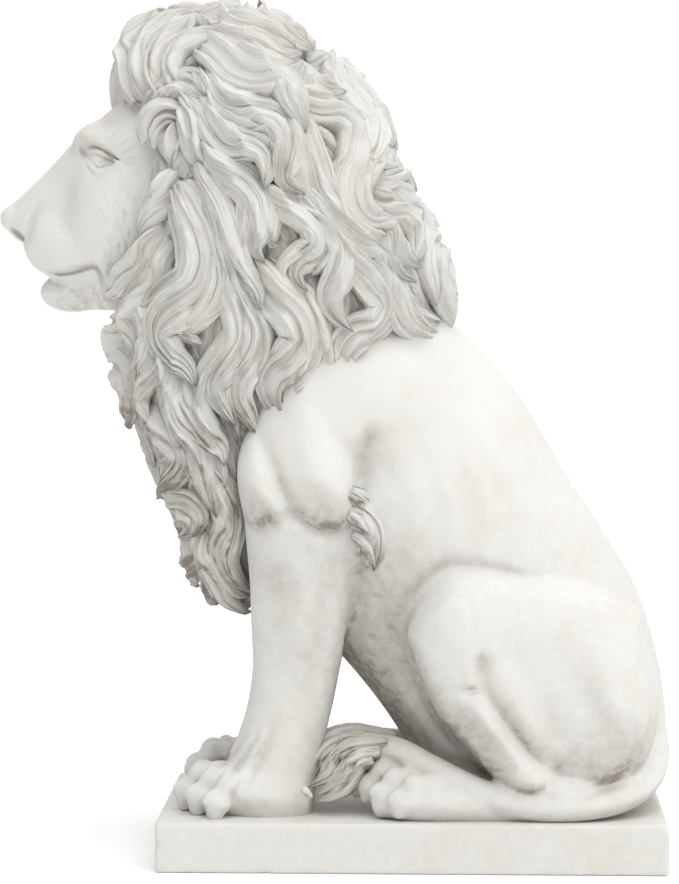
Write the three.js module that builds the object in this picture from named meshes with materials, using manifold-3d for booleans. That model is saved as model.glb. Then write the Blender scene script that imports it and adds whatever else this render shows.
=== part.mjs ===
// A seated lion with a full mane, its tail wrapped round the haunch, cast in one with a low plinth.
// Millimetres. +Z is up, the lion looks along -X, and its left flank, with the tail, is on -Y.
// The origin is the middle of the plinth's underside.

import * as THREE from 'three';
import { mergeVertices } from 'three/addons/utils/BufferGeometryUtils.js';
import Module from 'manifold-3d';

// Plinth
const PLINTH_LENGTH = 425;
const PLINTH_WIDTH = 250;
const PLINTH_HEIGHT = 42;
const PLINTH_CORNER_RADIUS = 5;
const PLINTH_EDGE_EASING = 2.5;

// Figure, measured from the plinth's top to the top of the crest, how deep its underside is let
// into the plinth, and the thickness of the tail
const FIGURE_HEIGHT = 682;
const FIGURE_SINK = 4;
const TAIL_THICKNESS = 23;

// Slivers that joining leaves are smoothed away within this distance of the surface
const SLIVER = 1.2;
const HAIR_BREADTH = 0.05;

// The pose and the carving are drawn on a figure 682 high that stands at a height of 42,
// and are kept as shares of the figure's own height.
const DRAWN_HEIGHT = 682;
const DRAWN_FLOOR = 42;
const SHARE = FIGURE_HEIGHT / DRAWN_HEIGHT;

// The two flanks: the left one faces -Y
const LEFT = -1;
const RIGHT = 1;

const wasm = await Module();
wasm.setup();

const vector = (x, y, z) => new THREE.Vector3(x, y, z);

// Drawn coordinates to the real figure on the real plinth
function placed(point) {
  return vector(point.x * SHARE, point.y * SHARE, PLINTH_HEIGHT + (point.z - DRAWN_FLOOR) * SHARE);
}

// Six times the volume inside a mesh, negative when its faces point inwards
function signedVolume(positions, index) {
  const corner = (i) => vector(positions[3 * i], positions[3 * i + 1], positions[3 * i + 2]);
  let total = 0;
  for (let i = 0; i < index.length; i += 3) {
    total += corner(index[i]).dot(corner(index[i + 1]).cross(corner(index[i + 2])));
  }
  return total;
}

// A closed mesh as a solid that can be joined and cut
function solidOf(positions, index) {
  const faces = [...index];
  if (signedVolume(positions, faces) < 0) {
    faces.reverse();
  }
  return new wasm.Manifold(new wasm.Mesh({
    numProp: 3,
    vertProperties: new Float32Array(positions),
    triVerts: new Uint32Array(faces),
  }));
}

function solidOfGeometry(geometry) {
  const bare = geometry.clone();
  bare.deleteAttribute('normal');
  bare.deleteAttribute('uv');
  const merged = mergeVertices(bare, 1e-4);
  return solidOf([...merged.attributes.position.array], [...merged.index.array]);
}

// A skin over rings of points, closed at both ends by a point
function skin(rings, start, end) {
  const sides = rings[0].length;
  const points = [...rings.flat(), start, end].map(placed);
  const index = [];
  rings.slice(1).forEach((_, r) => {
    for (let s = 0; s < sides; s++) {
      const a = r * sides + s;
      const b = r * sides + (s + 1) % sides;
      index.push(a, b, b + sides, a, b + sides, a + sides);
    }
  });
  const first = rings.length * sides;
  const last = first - sides;
  for (let s = 0; s < sides; s++) {
    const next = (s + 1) % sides;
    index.push(first, next, s);
    index.push(first + 1, last + s, last + next);
  }
  return solidOf(points.flatMap((p) => [p.x, p.y, p.z]), index);
}

function ring(centre, across, up, sides) {
  return Array.from({ length: sides }, (_, s) => {
    const angle = 2 * Math.PI * s / sides;
    return centre.clone()
      .addScaledVector(across, Math.cos(angle))
      .addScaledVector(up, Math.sin(angle));
  });
}

// Evenly spread points on a smooth line through the given ones
function spread(points, count) {
  const line = new THREE.CatmullRomCurve3(points, false, 'catmullrom', 0.5);
  return Array.from({ length: count + 1 }, (_, i) => line.getPoint(i / count));
}

// A form through oval sections, each given by its front and back points in the figure's middle
// plane, and its half-width sideways
function form({ sections, sides, steps }) {
  const front = spread(sections.map(([x, z]) => vector(x, 0, z)), steps);
  const back = spread(sections.map(([, , x, z]) => vector(x, 0, z)), steps);
  const wide = spread(sections.map(([, , , , half]) => vector(half, 0, 0)), steps);
  const rings = front.map((point, i) => {
    const centre = point.clone().add(back[i]).multiplyScalar(0.5);
    return ring(centre, back[i].clone().sub(centre), vector(0, wide[i].x, 0), sides);
  });
  const middle = (i) => front[i].clone().add(back[i]).multiplyScalar(0.5);
  return skin(rings, middle(0), middle(steps));
}

// A limb along a line of stations: place, half-depth in the side view, half-width sideways
function limb({ stations, side = LEFT, sides = 10, steps = 8 }) {
  const line = spread(stations.map(([x, y, z]) => vector(x, side * y, z)), steps);
  const half = spread(stations.map(([, , , depth, width]) => vector(depth, width, 0)), steps);
  const rings = line.map((centre, i) => {
    const along = line[Math.min(i + 1, steps)].clone().sub(line[Math.max(i - 1, 0)]).normalize();
    const across = vector(0, 1, 0).addScaledVector(along, -along.y).normalize();
    const deep = along.clone().cross(across);
    return ring(centre, across.multiplyScalar(half[i].y), deep.multiplyScalar(half[i].x), sides);
  });
  return skin(rings, line[0], line[steps]);
}

// A muscle or a toe: an oval ball, tilted in the side view
function ball({ at, radii, tilt = 0, side = LEFT, sides = 10, rings = 6 }) {
  const geometry = new THREE.SphereGeometry(1, sides, rings);
  geometry.rotateX(Math.PI / 2);
  geometry.scale(...radii);
  geometry.rotateY(THREE.MathUtils.degToRad(tilt));
  geometry.translate(at[0], side * at[1], at[2]);
  const position = geometry.attributes.position;
  for (let i = 0; i < position.count; i++) {
    const point = placed(vector().fromBufferAttribute(position, i));
    position.setXYZ(i, point.x, point.y, point.z);
  }
  return solidOfGeometry(geometry);
}

// A tapering round cord of hair or tail along a line of points
function cord({ points, radii, steps, sides = 8 }) {
  const line = new THREE.CatmullRomCurve3(points, false, 'catmullrom', 0.5);
  const half = spread(radii.map((r) => vector(r, 0, 0)), steps);
  const { normals, binormals } = line.computeFrenetFrames(steps);
  const rings = half.map((r, i) => ring(
    line.getPointAt(i / steps),
    normals[i].clone().multiplyScalar(r.x),
    binormals[i].clone().multiplyScalar(r.x),
    sides,
  ));
  return skin(rings, line.getPointAt(0), line.getPointAt(1));
}

function joined(solids) {
  return solids.reduce((whole, next) => whole.add(next));
}

// Plinth: a slab with eased upright corners and eased top and bottom edges
function plinth() {
  const outline = new THREE.Shape();
  const x = PLINTH_LENGTH / 2 - PLINTH_EDGE_EASING;
  const y = PLINTH_WIDTH / 2 - PLINTH_EDGE_EASING;
  const r = PLINTH_CORNER_RADIUS;
  outline.moveTo(-x + r, -y);
  outline.lineTo(x - r, -y);
  outline.absarc(x - r, -y + r, r, -Math.PI / 2, 0);
  outline.absarc(x - r, y - r, r, 0, Math.PI / 2);
  outline.absarc(-x + r, y - r, r, Math.PI / 2, Math.PI);
  outline.absarc(-x + r, -y + r, r, Math.PI, 1.5 * Math.PI);
  const slab = new THREE.ExtrudeGeometry(outline, {
    depth: PLINTH_HEIGHT - 2 * PLINTH_EDGE_EASING,
    bevelThickness: PLINTH_EDGE_EASING,
    bevelSize: PLINTH_EDGE_EASING,
    bevelSegments: 1,
    curveSegments: 3,
  });
  slab.translate(0, 0, PLINTH_EDGE_EASING);
  return solidOfGeometry(slab);
}

// Trunk from the chest down to the rump, as front and back points and half-width
const TRUNK = [
  [-190, 360, -20, 500, 70],
  [-176, 315, 22, 462, 92],
  [-150, 262, 66, 421, 101],
  [-115, 224, 97, 382, 103],
  [-76, 182, 127, 331, 100],
  [-42, 143, 162, 277, 98],
  [-14, 104, 191, 226, 95],
  [2, 70, 208, 172, 90],
  [12, 48, 217, 115, 86],
  [24, 30, 215, 62, 82],
];

// Fore leg: place, half-depth, half-width
const FORE_LEG = [
  [-52, 70, 405, 58, 26],
  [-72, 78, 370, 60, 34],
  [-90, 80, 330, 54, 36],
  [-93, 76, 290, 48, 34],
  [-93, 70, 240, 44, 32],
  [-95, 67, 200, 41, 31],
  [-99, 65, 160, 36, 29],
  [-105, 64, 125, 33, 28],
  [-112, 64, 98, 35, 29],
  [-122, 64, 70, 37, 30],
  [-126, 64, 40, 37, 30],
];

const FORE_PAW = [
  [-88, 64, 50, 10, 20],
  [-104, 64, 54, 22, 29],
  [-132, 65, 60, 27, 33],
  [-158, 66, 58, 25, 35],
  [-178, 66, 52, 19, 33],
  [-190, 66, 46, 12, 28],
];

// Hind leg: the thigh from the hip to the knee, the shank from the knee to the hock, then the foot
// from the hock to the toes
const THIGH = [
  [156, 62, 140, 84, 40],
  [114, 73, 160, 81, 45],
  [74, 81, 178, 71, 39],
  [40, 87, 195, 51, 31],
  [12, 90, 200, 27, 21],
  [-4, 90, 200, 9, 8],
];

const SHANK = [
  [34, 88, 214, 34, 28],
  [43, 96, 186, 39, 26],
  [60, 100, 148, 37, 24],
  [80, 99, 110, 27, 21],
  [96, 96, 80, 19, 18],
  [104, 94, 56, 15, 17],
];

const HIND_FOOT = [
  [112, 92, 52, 14, 16],
  [84, 93, 54, 18, 19],
  [48, 94, 54, 18, 21],
  [18, 92, 56, 20, 25],
  [-12, 90, 58, 25, 29],
  [-34, 89, 52, 19, 28],
  [-46, 89, 47, 11, 24],
];

// A toe from the instep over the knuckle down to the claw, as shares of its radius
const TOE = [
  [2.3, 0.1, 0.6],
  [1.0, 0.75, 0.95],
  [-0.2, 0.15, 1.0],
  [-1.3, -1.1, 0.9],
  [-2.1, -1.7, 0.45],
];

// Toes fan forward from a paw, the middle pair furthest
function toes({ x, y, z, radius, side, gap }) {
  return [-1.5, -0.5, 0.5, 1.5].map((place) => {
    const setBack = Math.abs(place) > 1 ? radius * 0.6 : 0;
    const stations = TOE.map(([along, up, thick]) => [
      x + setBack + along * radius, y + place * gap, z + up * radius, thick * radius,
      thick * radius * 0.8,
    ]);
    return limb({ stations, side, sides: 5, steps: 5 });
  });
}

function foreLeg(side) {
  return joined([
    limb({ stations: FORE_LEG, side, steps: 8 }),
    limb({ stations: FORE_PAW, side, steps: 5 }),
    ball({ at: [-50, 72, 376], radii: [76, 37, 68], side, sides: 12, rings: 8 }),
    ball({ at: [-120, 92, 326], radii: [23, 20, 42], tilt: -6, side }),
    ball({ at: [-76, 94, 322], radii: [32, 22, 46], tilt: 8, side }),
    ...toes({ x: -168, y: 66, z: 67, radius: 12, side, gap: 17 }),
  ]);
}

function hindLeg(side) {
  return joined([
    ball({ at: [140, 68, 138], radii: [68, 48, 84], side, sides: 12, rings: 7 }),
    limb({ stations: THIGH, side, sides: 12, steps: 7 }),
    limb({ stations: SHANK, side, steps: 6 }),
    limb({ stations: HIND_FOOT, side, steps: 5 }),
    ball({ at: [96, 96, 80], radii: [17, 17, 18], side, sides: 8, rings: 5 }),
    ...toes({ x: -24, y: 90, z: 74, radius: 11.5, side, gap: 16 }),
  ]);
}

// Head: top and bottom of the profile from the back of the skull to the nose, and half-width
const HEAD = [
  [-200, 680, -200, 470, 58],
  [-232, 664, -232, 464, 64],
  [-262, 640, -258, 464, 60],
  [-284, 615, -282, 464, 52],
  [-303, 591, -302, 468, 43],
  [-320, 573, -317, 486, 36],
  [-334, 560, -330, 508, 29],
  [-347, 549, -344, 527, 18],
];

function headSide(side) {
  return joined([
    ball({ at: [-306, 17, 520], radii: [31, 24, 29], side }),
    ball({ at: [-276, 33, 606], radii: [20, 15, 9], tilt: -28, side, sides: 8, rings: 5 }),
    ball({ at: [-250, 40, 546], radii: [36, 24, 42], side, sides: 8 }),
    ball({ at: [-267, 41, 590], radii: [11, 9, 8], side, sides: 8, rings: 5 }),
    ball({ at: [-204, 76, 626], radii: [24, 18, 30], tilt: 14, side, sides: 8 }),
  ]);
}

function head() {
  return joined([
    form({ sections: HEAD, sides: 14, steps: 9 }),
    headSide(LEFT),
    headSide(RIGHT),
    ball({ at: [-338, 0, 540], radii: [14, 17, 13], sides: 8 }),
    ball({ at: [-294, 0, 480], radii: [27, 27, 17] }),
  ]);
}

// Mane: level sections from the crown down to the point of the bib: height, front, back, half-width
const MANE = [
  [716, -200, -150, 12],
  [704, -228, -124, 38],
  [680, -238, -92, 62],
  [646, -236, -56, 80],
  [608, -228, -38, 93],
  [566, -222, -20, 103],
  [524, -230, 2, 108],
  [482, -244, 20, 108],
  [444, -248, 10, 102],
  [404, -238, -40, 92],
  [362, -226, -96, 84],
  [320, -209, -122, 74],
  [280, -191, -130, 60],
  [244, -178, -136, 42],
  [212, -160, -140, 18],
];

// A point of the mane: angle from the back (0) round a flank to the front (180), and how far down
// it lies, from the crown (0) to the bib (1)
function manePoint(angle, down, side) {
  const place = THREE.MathUtils.clamp(down, 0, 1) * (MANE.length - 1);
  const low = Math.min(Math.floor(place), MANE.length - 2);
  const part = place - low;
  const [z, front, back, half] = MANE[low].map((value, i) => value + (MANE[low + 1][i] - value) * part);
  const turn = THREE.MathUtils.degToRad(angle);
  return vector(
    (front + back) / 2 + (back - front) / 2 * Math.cos(turn),
    side * half * Math.sin(turn),
    z,
  );
}

function maneNormal(angle, down, side) {
  const reach = 0.02;
  const roundWay = manePoint(angle + 4, down, side).sub(manePoint(angle - 4, down, side));
  const downWay = manePoint(angle, Math.min(down + reach, 1), side)
    .sub(manePoint(angle, Math.max(down - reach, 0), side));
  const normal = roundWay.cross(downWay).normalize();
  return normal.multiplyScalar(-side);
}

// A lock of hair: a flat ribbon that follows its line, swells, and ends in a lifted point
function lock({ line, normals, width, thickness, sides = 4 }) {
  const steps = line.length - 1;
  const rings = line.map((point, i) => {
    const share = i / steps;
    const swell = Math.sin(Math.PI * Math.min(0.2 + 0.82 * share, 1)) ** 0.6;
    const along = line[Math.min(i + 1, steps)].clone().sub(line[Math.max(i - 1, 0)]).normalize();
    const across = along.clone().cross(normals[i]).normalize();
    return ring(
      point,
      across.multiplyScalar(width / 2 * swell + 1),
      normals[i].clone().multiplyScalar(thickness / 2 * swell + 1),
      sides,
    );
  });
  return skin(rings, line[0], line[steps]);
}

// One lock that hangs on the mane, swaying from side to side
function hangingLock({ side, angle, top, bottom, lean, sway, phase, width, lift = 7, steps = 6 }) {
  const line = [];
  const normals = [];
  for (let i = 0; i <= steps; i++) {
    const share = i / steps;
    const wave = sway * Math.sin(2 * Math.PI * (share * 1.1 + phase)) * (0.35 + 0.65 * share);
    const turn = angle + lean * share + wave;
    const down = top + (bottom - top) * share;
    const normal = maneNormal(turn, down, side);
    line.push(manePoint(turn, down, side).addScaledVector(normal, 1 + lift * share));
    normals.push(normal);
  }
  return lock({ line, normals, width, thickness: LOCK_THICKNESS });
}

const LOCK_THICKNESS = 26;

// Tiers of locks from the crown to the bib: how many on a flank, between which angles, from which
// height to which, how far they lean forward or back, their sway and their width
const TIERS = [
  { count: 4, from: 14, to: 112, top: 0.05, bottom: 0.36, lean: -4, sway: 11, width: 40 },
  { count: 4, from: 12, to: 122, top: 0.22, bottom: 0.50, lean: -4, sway: 10, width: 42 },
  { count: 5, from: 6, to: 132, top: 0.36, bottom: 0.62, lean: -4, sway: 8, width: 40 },
  { count: 4, from: 66, to: 166, top: 0.47, bottom: 0.74, lean: -2, sway: 9, width: 38 },
  { count: 3, from: 108, to: 172, top: 0.62, bottom: 0.88, lean: 2, sway: 10, width: 34 },
  { count: 2, from: 130, to: 168, top: 0.76, bottom: 1.0, lean: 4, sway: 12, width: 28 },
];

function tier({ count, from, to, ...shape }, row, side) {
  return Array.from({ length: count }, (_, i) => hangingLock({
    ...shape,
    side,
    angle: from + (to - from) * (i + (row % 2) * 0.3) / (count - 0.7),
    phase: 0.13 * i + 0.37 * row,
  }));
}

// The crest: locks that rise from the forehead and sweep back over the crown
const CREST = [[-262, 640], [-256, 678], [-228, 704], [-192, 714], [-158, 712]];

function crestLock(y) {
  const drop = Math.abs(y) * 0.22;
  const line = spread(CREST.map(([x, z]) => vector(x + Math.abs(y) * 0.5, y, z - drop)), 7);
  const normals = line.map((point) => point.clone().sub(vector(-195, 0, 640)).normalize());
  return lock({ line, normals, width: 30, thickness: LOCK_THICKNESS });
}

function mane() {
  const sections = MANE.map(([z, front, back, half]) => [front, z, back, z, half]);
  return joined([
    form({ sections, sides: 12, steps: 12 }),
    ...[LEFT, RIGHT].flatMap((side) => TIERS.flatMap((shape, row) => tier(shape, row, side))),
    ...[-44, -15, 15, 44].map(crestLock),
  ]);
}

// Tail: down from the rump, round the haunch on the left and forward over the hind paw
const TAIL = [
  [198, 0, 120],
  [205, -30, 90],
  [198, -62, 72],
  [180, -88, 61],
  [152, -104, 55],
  [118, -108, 53],
  [82, -107, 57],
  [48, -100, 69],
  [16, -92, 84],
  [-12, -82, 97],
  [-38, -74, 101],
];

// The tuft at its end fans into three strands that fall forward
const TUFT = [
  { end: [-98, -72, 50], bow: [-78, -74, 94], radius: 10 },
  { end: [-70, -84, 48], bow: [-62, -82, 84], radius: 12 },
  { end: [-62, -62, 46], bow: [-68, -58, 84], radius: 11 },
];

function tail() {
  const points = TAIL.map((point) => vector(...point));
  const thick = TAIL_THICKNESS / SHARE / 2;
  const root = points.at(-2);
  return joined([
    cord({ points, radii: [thick * 1.25, thick * 1.05, thick, thick * 0.85], steps: 16 }),
    ...TUFT.map(({ end, bow, radius }) => cord({
      points: [root, points.at(-1), vector(...bow), vector(...end)],
      radii: [4, radius, radius, 1.5],
      steps: 7,
      sides: 6,
    })),
  ]);
}

// The curl of hair at the elbow
function elbowTuft(side) {
  const line = [[-46, 84, 300], [-34, 92, 286], [-24, 95, 268], [-30, 96, 250], [-42, 95, 243]];
  const points = line.map(([x, y, z]) => vector(x, side * y, z));
  return cord({ points, radii: [9, 9, 8, 2], steps: 6, sides: 6 });
}

function figure() {
  const whole = joined([
    form({ sections: TRUNK, sides: 16, steps: 12 }),
    foreLeg(LEFT),
    foreLeg(RIGHT),
    hindLeg(LEFT),
    hindLeg(RIGHT),
    elbowTuft(LEFT),
    elbowTuft(RIGHT),
    head(),
    mane(),
    tail(),
  ]);
  const reach = 2 * FIGURE_HEIGHT;
  const below = new THREE.BoxGeometry(reach, reach, reach);
  below.translate(0, 0, PLINTH_HEIGHT - FIGURE_SINK - reach / 2);
  return whole.asOriginal().simplify(SLIVER).subtract(solidOfGeometry(below));
}

// The outer skin alone: pockets closed in between locks are filled, as a mould fills them
function outerSkin(solid) {
  return solid.decompose().reduce((a, b) => (a.volume() > b.volume() ? a : b));
}

// Where two folds of the skin only touch, at a point or along an edge, each is drawn back a hair's
// breadth into its own side, so that every edge belongs to two faces
function parted(geometry) {
  geometry.computeVertexNormals();
  const { position, normal } = geometry.attributes;
  const places = new Map();
  for (let i = 0; i < position.count; i++) {
    const key = [position.getX(i), position.getY(i), position.getZ(i)].map((v) => v.toFixed(1)).join();
    places.set(key, [...(places.get(key) ?? []), i]);
  }
  for (const shared of places.values()) {
    for (const i of shared.length > 1 ? shared : []) {
      const point = vector().fromBufferAttribute(position, i);
      point.addScaledVector(vector().fromBufferAttribute(normal, i), -HAIR_BREADTH);
      position.setXYZ(i, point.x, point.y, point.z);
    }
  }
  geometry.deleteAttribute('normal');
  return geometry;
}

function lionStatue() {
  const { vertProperties, triVerts } = outerSkin(figure().add(plinth())).getMesh();
  const geometry = new THREE.BufferGeometry();
  geometry.setAttribute('position', new THREE.BufferAttribute(vertProperties, 3));
  geometry.setIndex(new THREE.BufferAttribute(triVerts, 1));
  parted(geometry);
  const stone = new THREE.MeshStandardMaterial({ color: 0xe6e4df, roughness: 0.78, metalness: 0 });
  const mesh = new THREE.Mesh(geometry, stone);
  mesh.name = 'lion_statue';
  return mesh;
}

const group = new THREE.Group();
group.add(lionStatue());

export default group;
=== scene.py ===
"""A seated lion of cast stone with a full mane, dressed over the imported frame.

Sizes are in millimetres until a mesh is made. +Z is up, the lion looks along -X and its left
flank, with the tail, is on -Y.
"""

import logging
import math
from dataclasses import dataclass, field
from enum import Enum
from functools import cached_property
from typing import Any, Optional, Sequence

import bpy
import numpy as np
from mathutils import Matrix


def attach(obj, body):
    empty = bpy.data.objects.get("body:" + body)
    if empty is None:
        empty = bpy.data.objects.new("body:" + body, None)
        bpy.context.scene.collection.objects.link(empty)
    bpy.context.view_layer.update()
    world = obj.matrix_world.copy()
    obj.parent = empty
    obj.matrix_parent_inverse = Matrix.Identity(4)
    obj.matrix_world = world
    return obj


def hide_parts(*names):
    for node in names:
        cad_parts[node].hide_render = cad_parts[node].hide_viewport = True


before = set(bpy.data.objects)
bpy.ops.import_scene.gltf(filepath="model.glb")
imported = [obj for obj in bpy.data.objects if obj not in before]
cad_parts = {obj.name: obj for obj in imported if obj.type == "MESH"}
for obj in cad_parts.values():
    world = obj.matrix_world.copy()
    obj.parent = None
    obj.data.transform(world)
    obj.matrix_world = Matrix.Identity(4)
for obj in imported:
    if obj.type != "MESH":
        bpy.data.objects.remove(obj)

import openvdb
from mathutils import Vector

LOG = logging.getLogger("lion")
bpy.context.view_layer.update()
MM = 0.001
Row = Sequence[float]
Rows = Sequence[Row]
Table = tuple[tuple[float, ...], ...]


class Side(Enum):
    """A flank of the lion, by the sign of its Y."""

    LEFT = -1
    RIGHT = 1


class Plane(Enum):
    """The plane that a chisel stroke is drawn in, by its two axes and the axis it goes through."""

    SIDE = (0, 2, 1)
    TOP = (0, 1, 2)
    FRONT = (1, 2, 0)


# Lines and skins

def smooth_line(points: Rows, count: int) -> np.ndarray:
    """Lay evenly numbered points on a smooth line through the given ones.

    Args:
        points: The points or rows of values that the line goes through.
        count: How many steps the line is cut into.

    Returns:
        An array of count + 1 rows.
    """
    rows = np.asarray(points, float)
    ends = np.vstack([2 * rows[0] - rows[1], rows, 2 * rows[-1] - rows[-2]])
    place = np.linspace(0, len(rows) - 1, count + 1)
    low = np.minimum(place.astype(int), len(rows) - 2)
    t = (place - low)[:, None]
    a, b, c, d = (ends[low + i] for i in range(4))
    return 0.5 * (2 * b + (c - a) * t + (2 * a - 5 * b + 4 * c - d) * t ** 2
                  + (3 * b - a - 3 * c + d) * t ** 3)


def even_line(points: Rows, step: float) -> np.ndarray:
    """Lay points at even distances on a smooth line through the given ones.

    Args:
        points: The points that the line goes through.
        step: The distance between two points.

    Returns:
        An array of points, the first and last ones among them.
    """
    dense = smooth_line(points, 24 * len(points))
    reach = np.r_[0, np.cumsum(np.linalg.norm(np.diff(dense, axis=0), axis=1))]
    count = max(5, round(reach[-1] / step))
    at = np.linspace(0, reach[-1], count + 1)
    return np.column_stack([np.interp(at, reach, column) for column in dense.T])


def unit(vectors: np.ndarray) -> np.ndarray:
    """Return the vectors (the last axis of the array) at length one."""
    return vectors / np.maximum(np.linalg.norm(vectors, axis=-1, keepdims=True), 1e-9)


@dataclass
class Shell:
    """A mesh in the making, in mm.

    Attributes:
        points: Its points.
        faces: Its faces, of three or four corners.
        groove: How deep in a groove between strands each point lies.
        hair: Each point's place across and along its lock, and the lock's own number.
    """

    points: np.ndarray
    faces: np.ndarray
    groove: Optional[np.ndarray] = None
    hair: Optional[np.ndarray] = None


def skin(rings: np.ndarray) -> Shell:
    """Close a skin over rings of points, with a fan at both ends.

    Args:
        rings: Points as an array of rings by sides by 3.

    Returns:
        The closed shell, in triangles.
    """
    count, sides, _ = rings.shape
    first = np.arange(count - 1)[:, None] * sides
    here = np.arange(sides)[None, :]
    a, b = first + here, first + (here + 1) % sides
    quads = np.stack([a, b, b + sides, a + sides], -1).reshape(-1, 4)
    tip = count * sides
    last = tip - sides
    here = np.arange(sides)
    after = (here + 1) % sides
    caps = np.vstack([
        np.column_stack([np.full(sides, tip), after, here]),
        np.column_stack([np.full(sides, tip + 1), last + here, last + after]),
    ])
    faces = np.vstack([quads[:, [0, 1, 2]], quads[:, [0, 2, 3]], caps])
    points = np.vstack([rings.reshape(-1, 3), rings[0].mean(0), rings[-1].mean(0)])
    return Shell(points, faces)


def ovals(centre: np.ndarray, across: np.ndarray, deep: np.ndarray, sides: int) -> np.ndarray:
    """Draw an oval ring round each centre.

    Args:
        centre: The rings' centres.
        across: The first half-axis of each ring.
        deep: The second half-axis of each ring.
        sides: The corners of a ring.

    Returns:
        Points as an array of rings by sides by 3.
    """
    angle = np.linspace(0, 2 * math.pi, sides, endpoint=False)
    return (centre[:, None] + np.cos(angle)[None, :, None] * across[:, None]
            + np.sin(angle)[None, :, None] * deep[:, None])


def form(sections: Rows, sides: int = 48, steps: int = 60) -> Shell:
    """Loft oval sections, each given by its front and back point and its half-width.

    Args:
        sections: Rows of front x, front z, back x, back z and half-width.
        sides: The corners of a section.
        steps: The steps of the loft.

    Returns:
        The closed shell.
    """
    rows = smooth_line(sections, steps)
    none = np.zeros(len(rows))
    front = np.column_stack([rows[:, 0], none, rows[:, 1]])
    back = np.column_stack([rows[:, 2], none, rows[:, 3]])
    wide = np.column_stack([none, rows[:, 4], none])
    middle = (front + back) / 2
    return skin(ovals(middle, back - middle, wide, sides))


def limb(stations: Rows, side: Side = Side.LEFT, sides: int = 36, steps: int = 48) -> Shell:
    """Loft a limb along stations of place, half-depth and half-width.

    Args:
        stations: Rows of x, y (outwards), z, half-depth and half-width.
        side: The flank that it is on.
        sides: The corners of a section.
        steps: The steps of the loft.

    Returns:
        The closed shell.
    """
    rows = smooth_line(stations, steps)
    centre = rows[:, :3] * [1, side.value, 1]
    along = unit(np.gradient(centre, axis=0))
    level = np.array([0.0, 1.0, 0.0])
    across = unit(level - along * along[:, 1:2])
    deep = np.cross(along, across)
    return skin(ovals(centre, across * rows[:, 4:5], deep * rows[:, 3:4], sides))


def cord(points: Rows, radii: Row, step: float = 3.0, sides: int = 16) -> Shell:
    """Loft a round cord along points, with radii spread over its length.

    Args:
        points: The points of its centre line.
        radii: Its radii from start to end.
        step: The length of one step.
        sides: The corners of a section.

    Returns:
        The closed shell.
    """
    line = even_line(points, step)
    share = np.linspace(0, 1, len(line))
    radius = np.interp(share, np.linspace(0, 1, len(radii)), radii)[:, None]
    along = unit(np.gradient(line, axis=0))
    guide = np.array([0.12, 0.31, 0.94])
    across = unit(np.cross(along, guide))
    return skin(ovals(line, across * radius, np.cross(along, across) * radius, sides))


# Clay: forms that melt into each other

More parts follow.
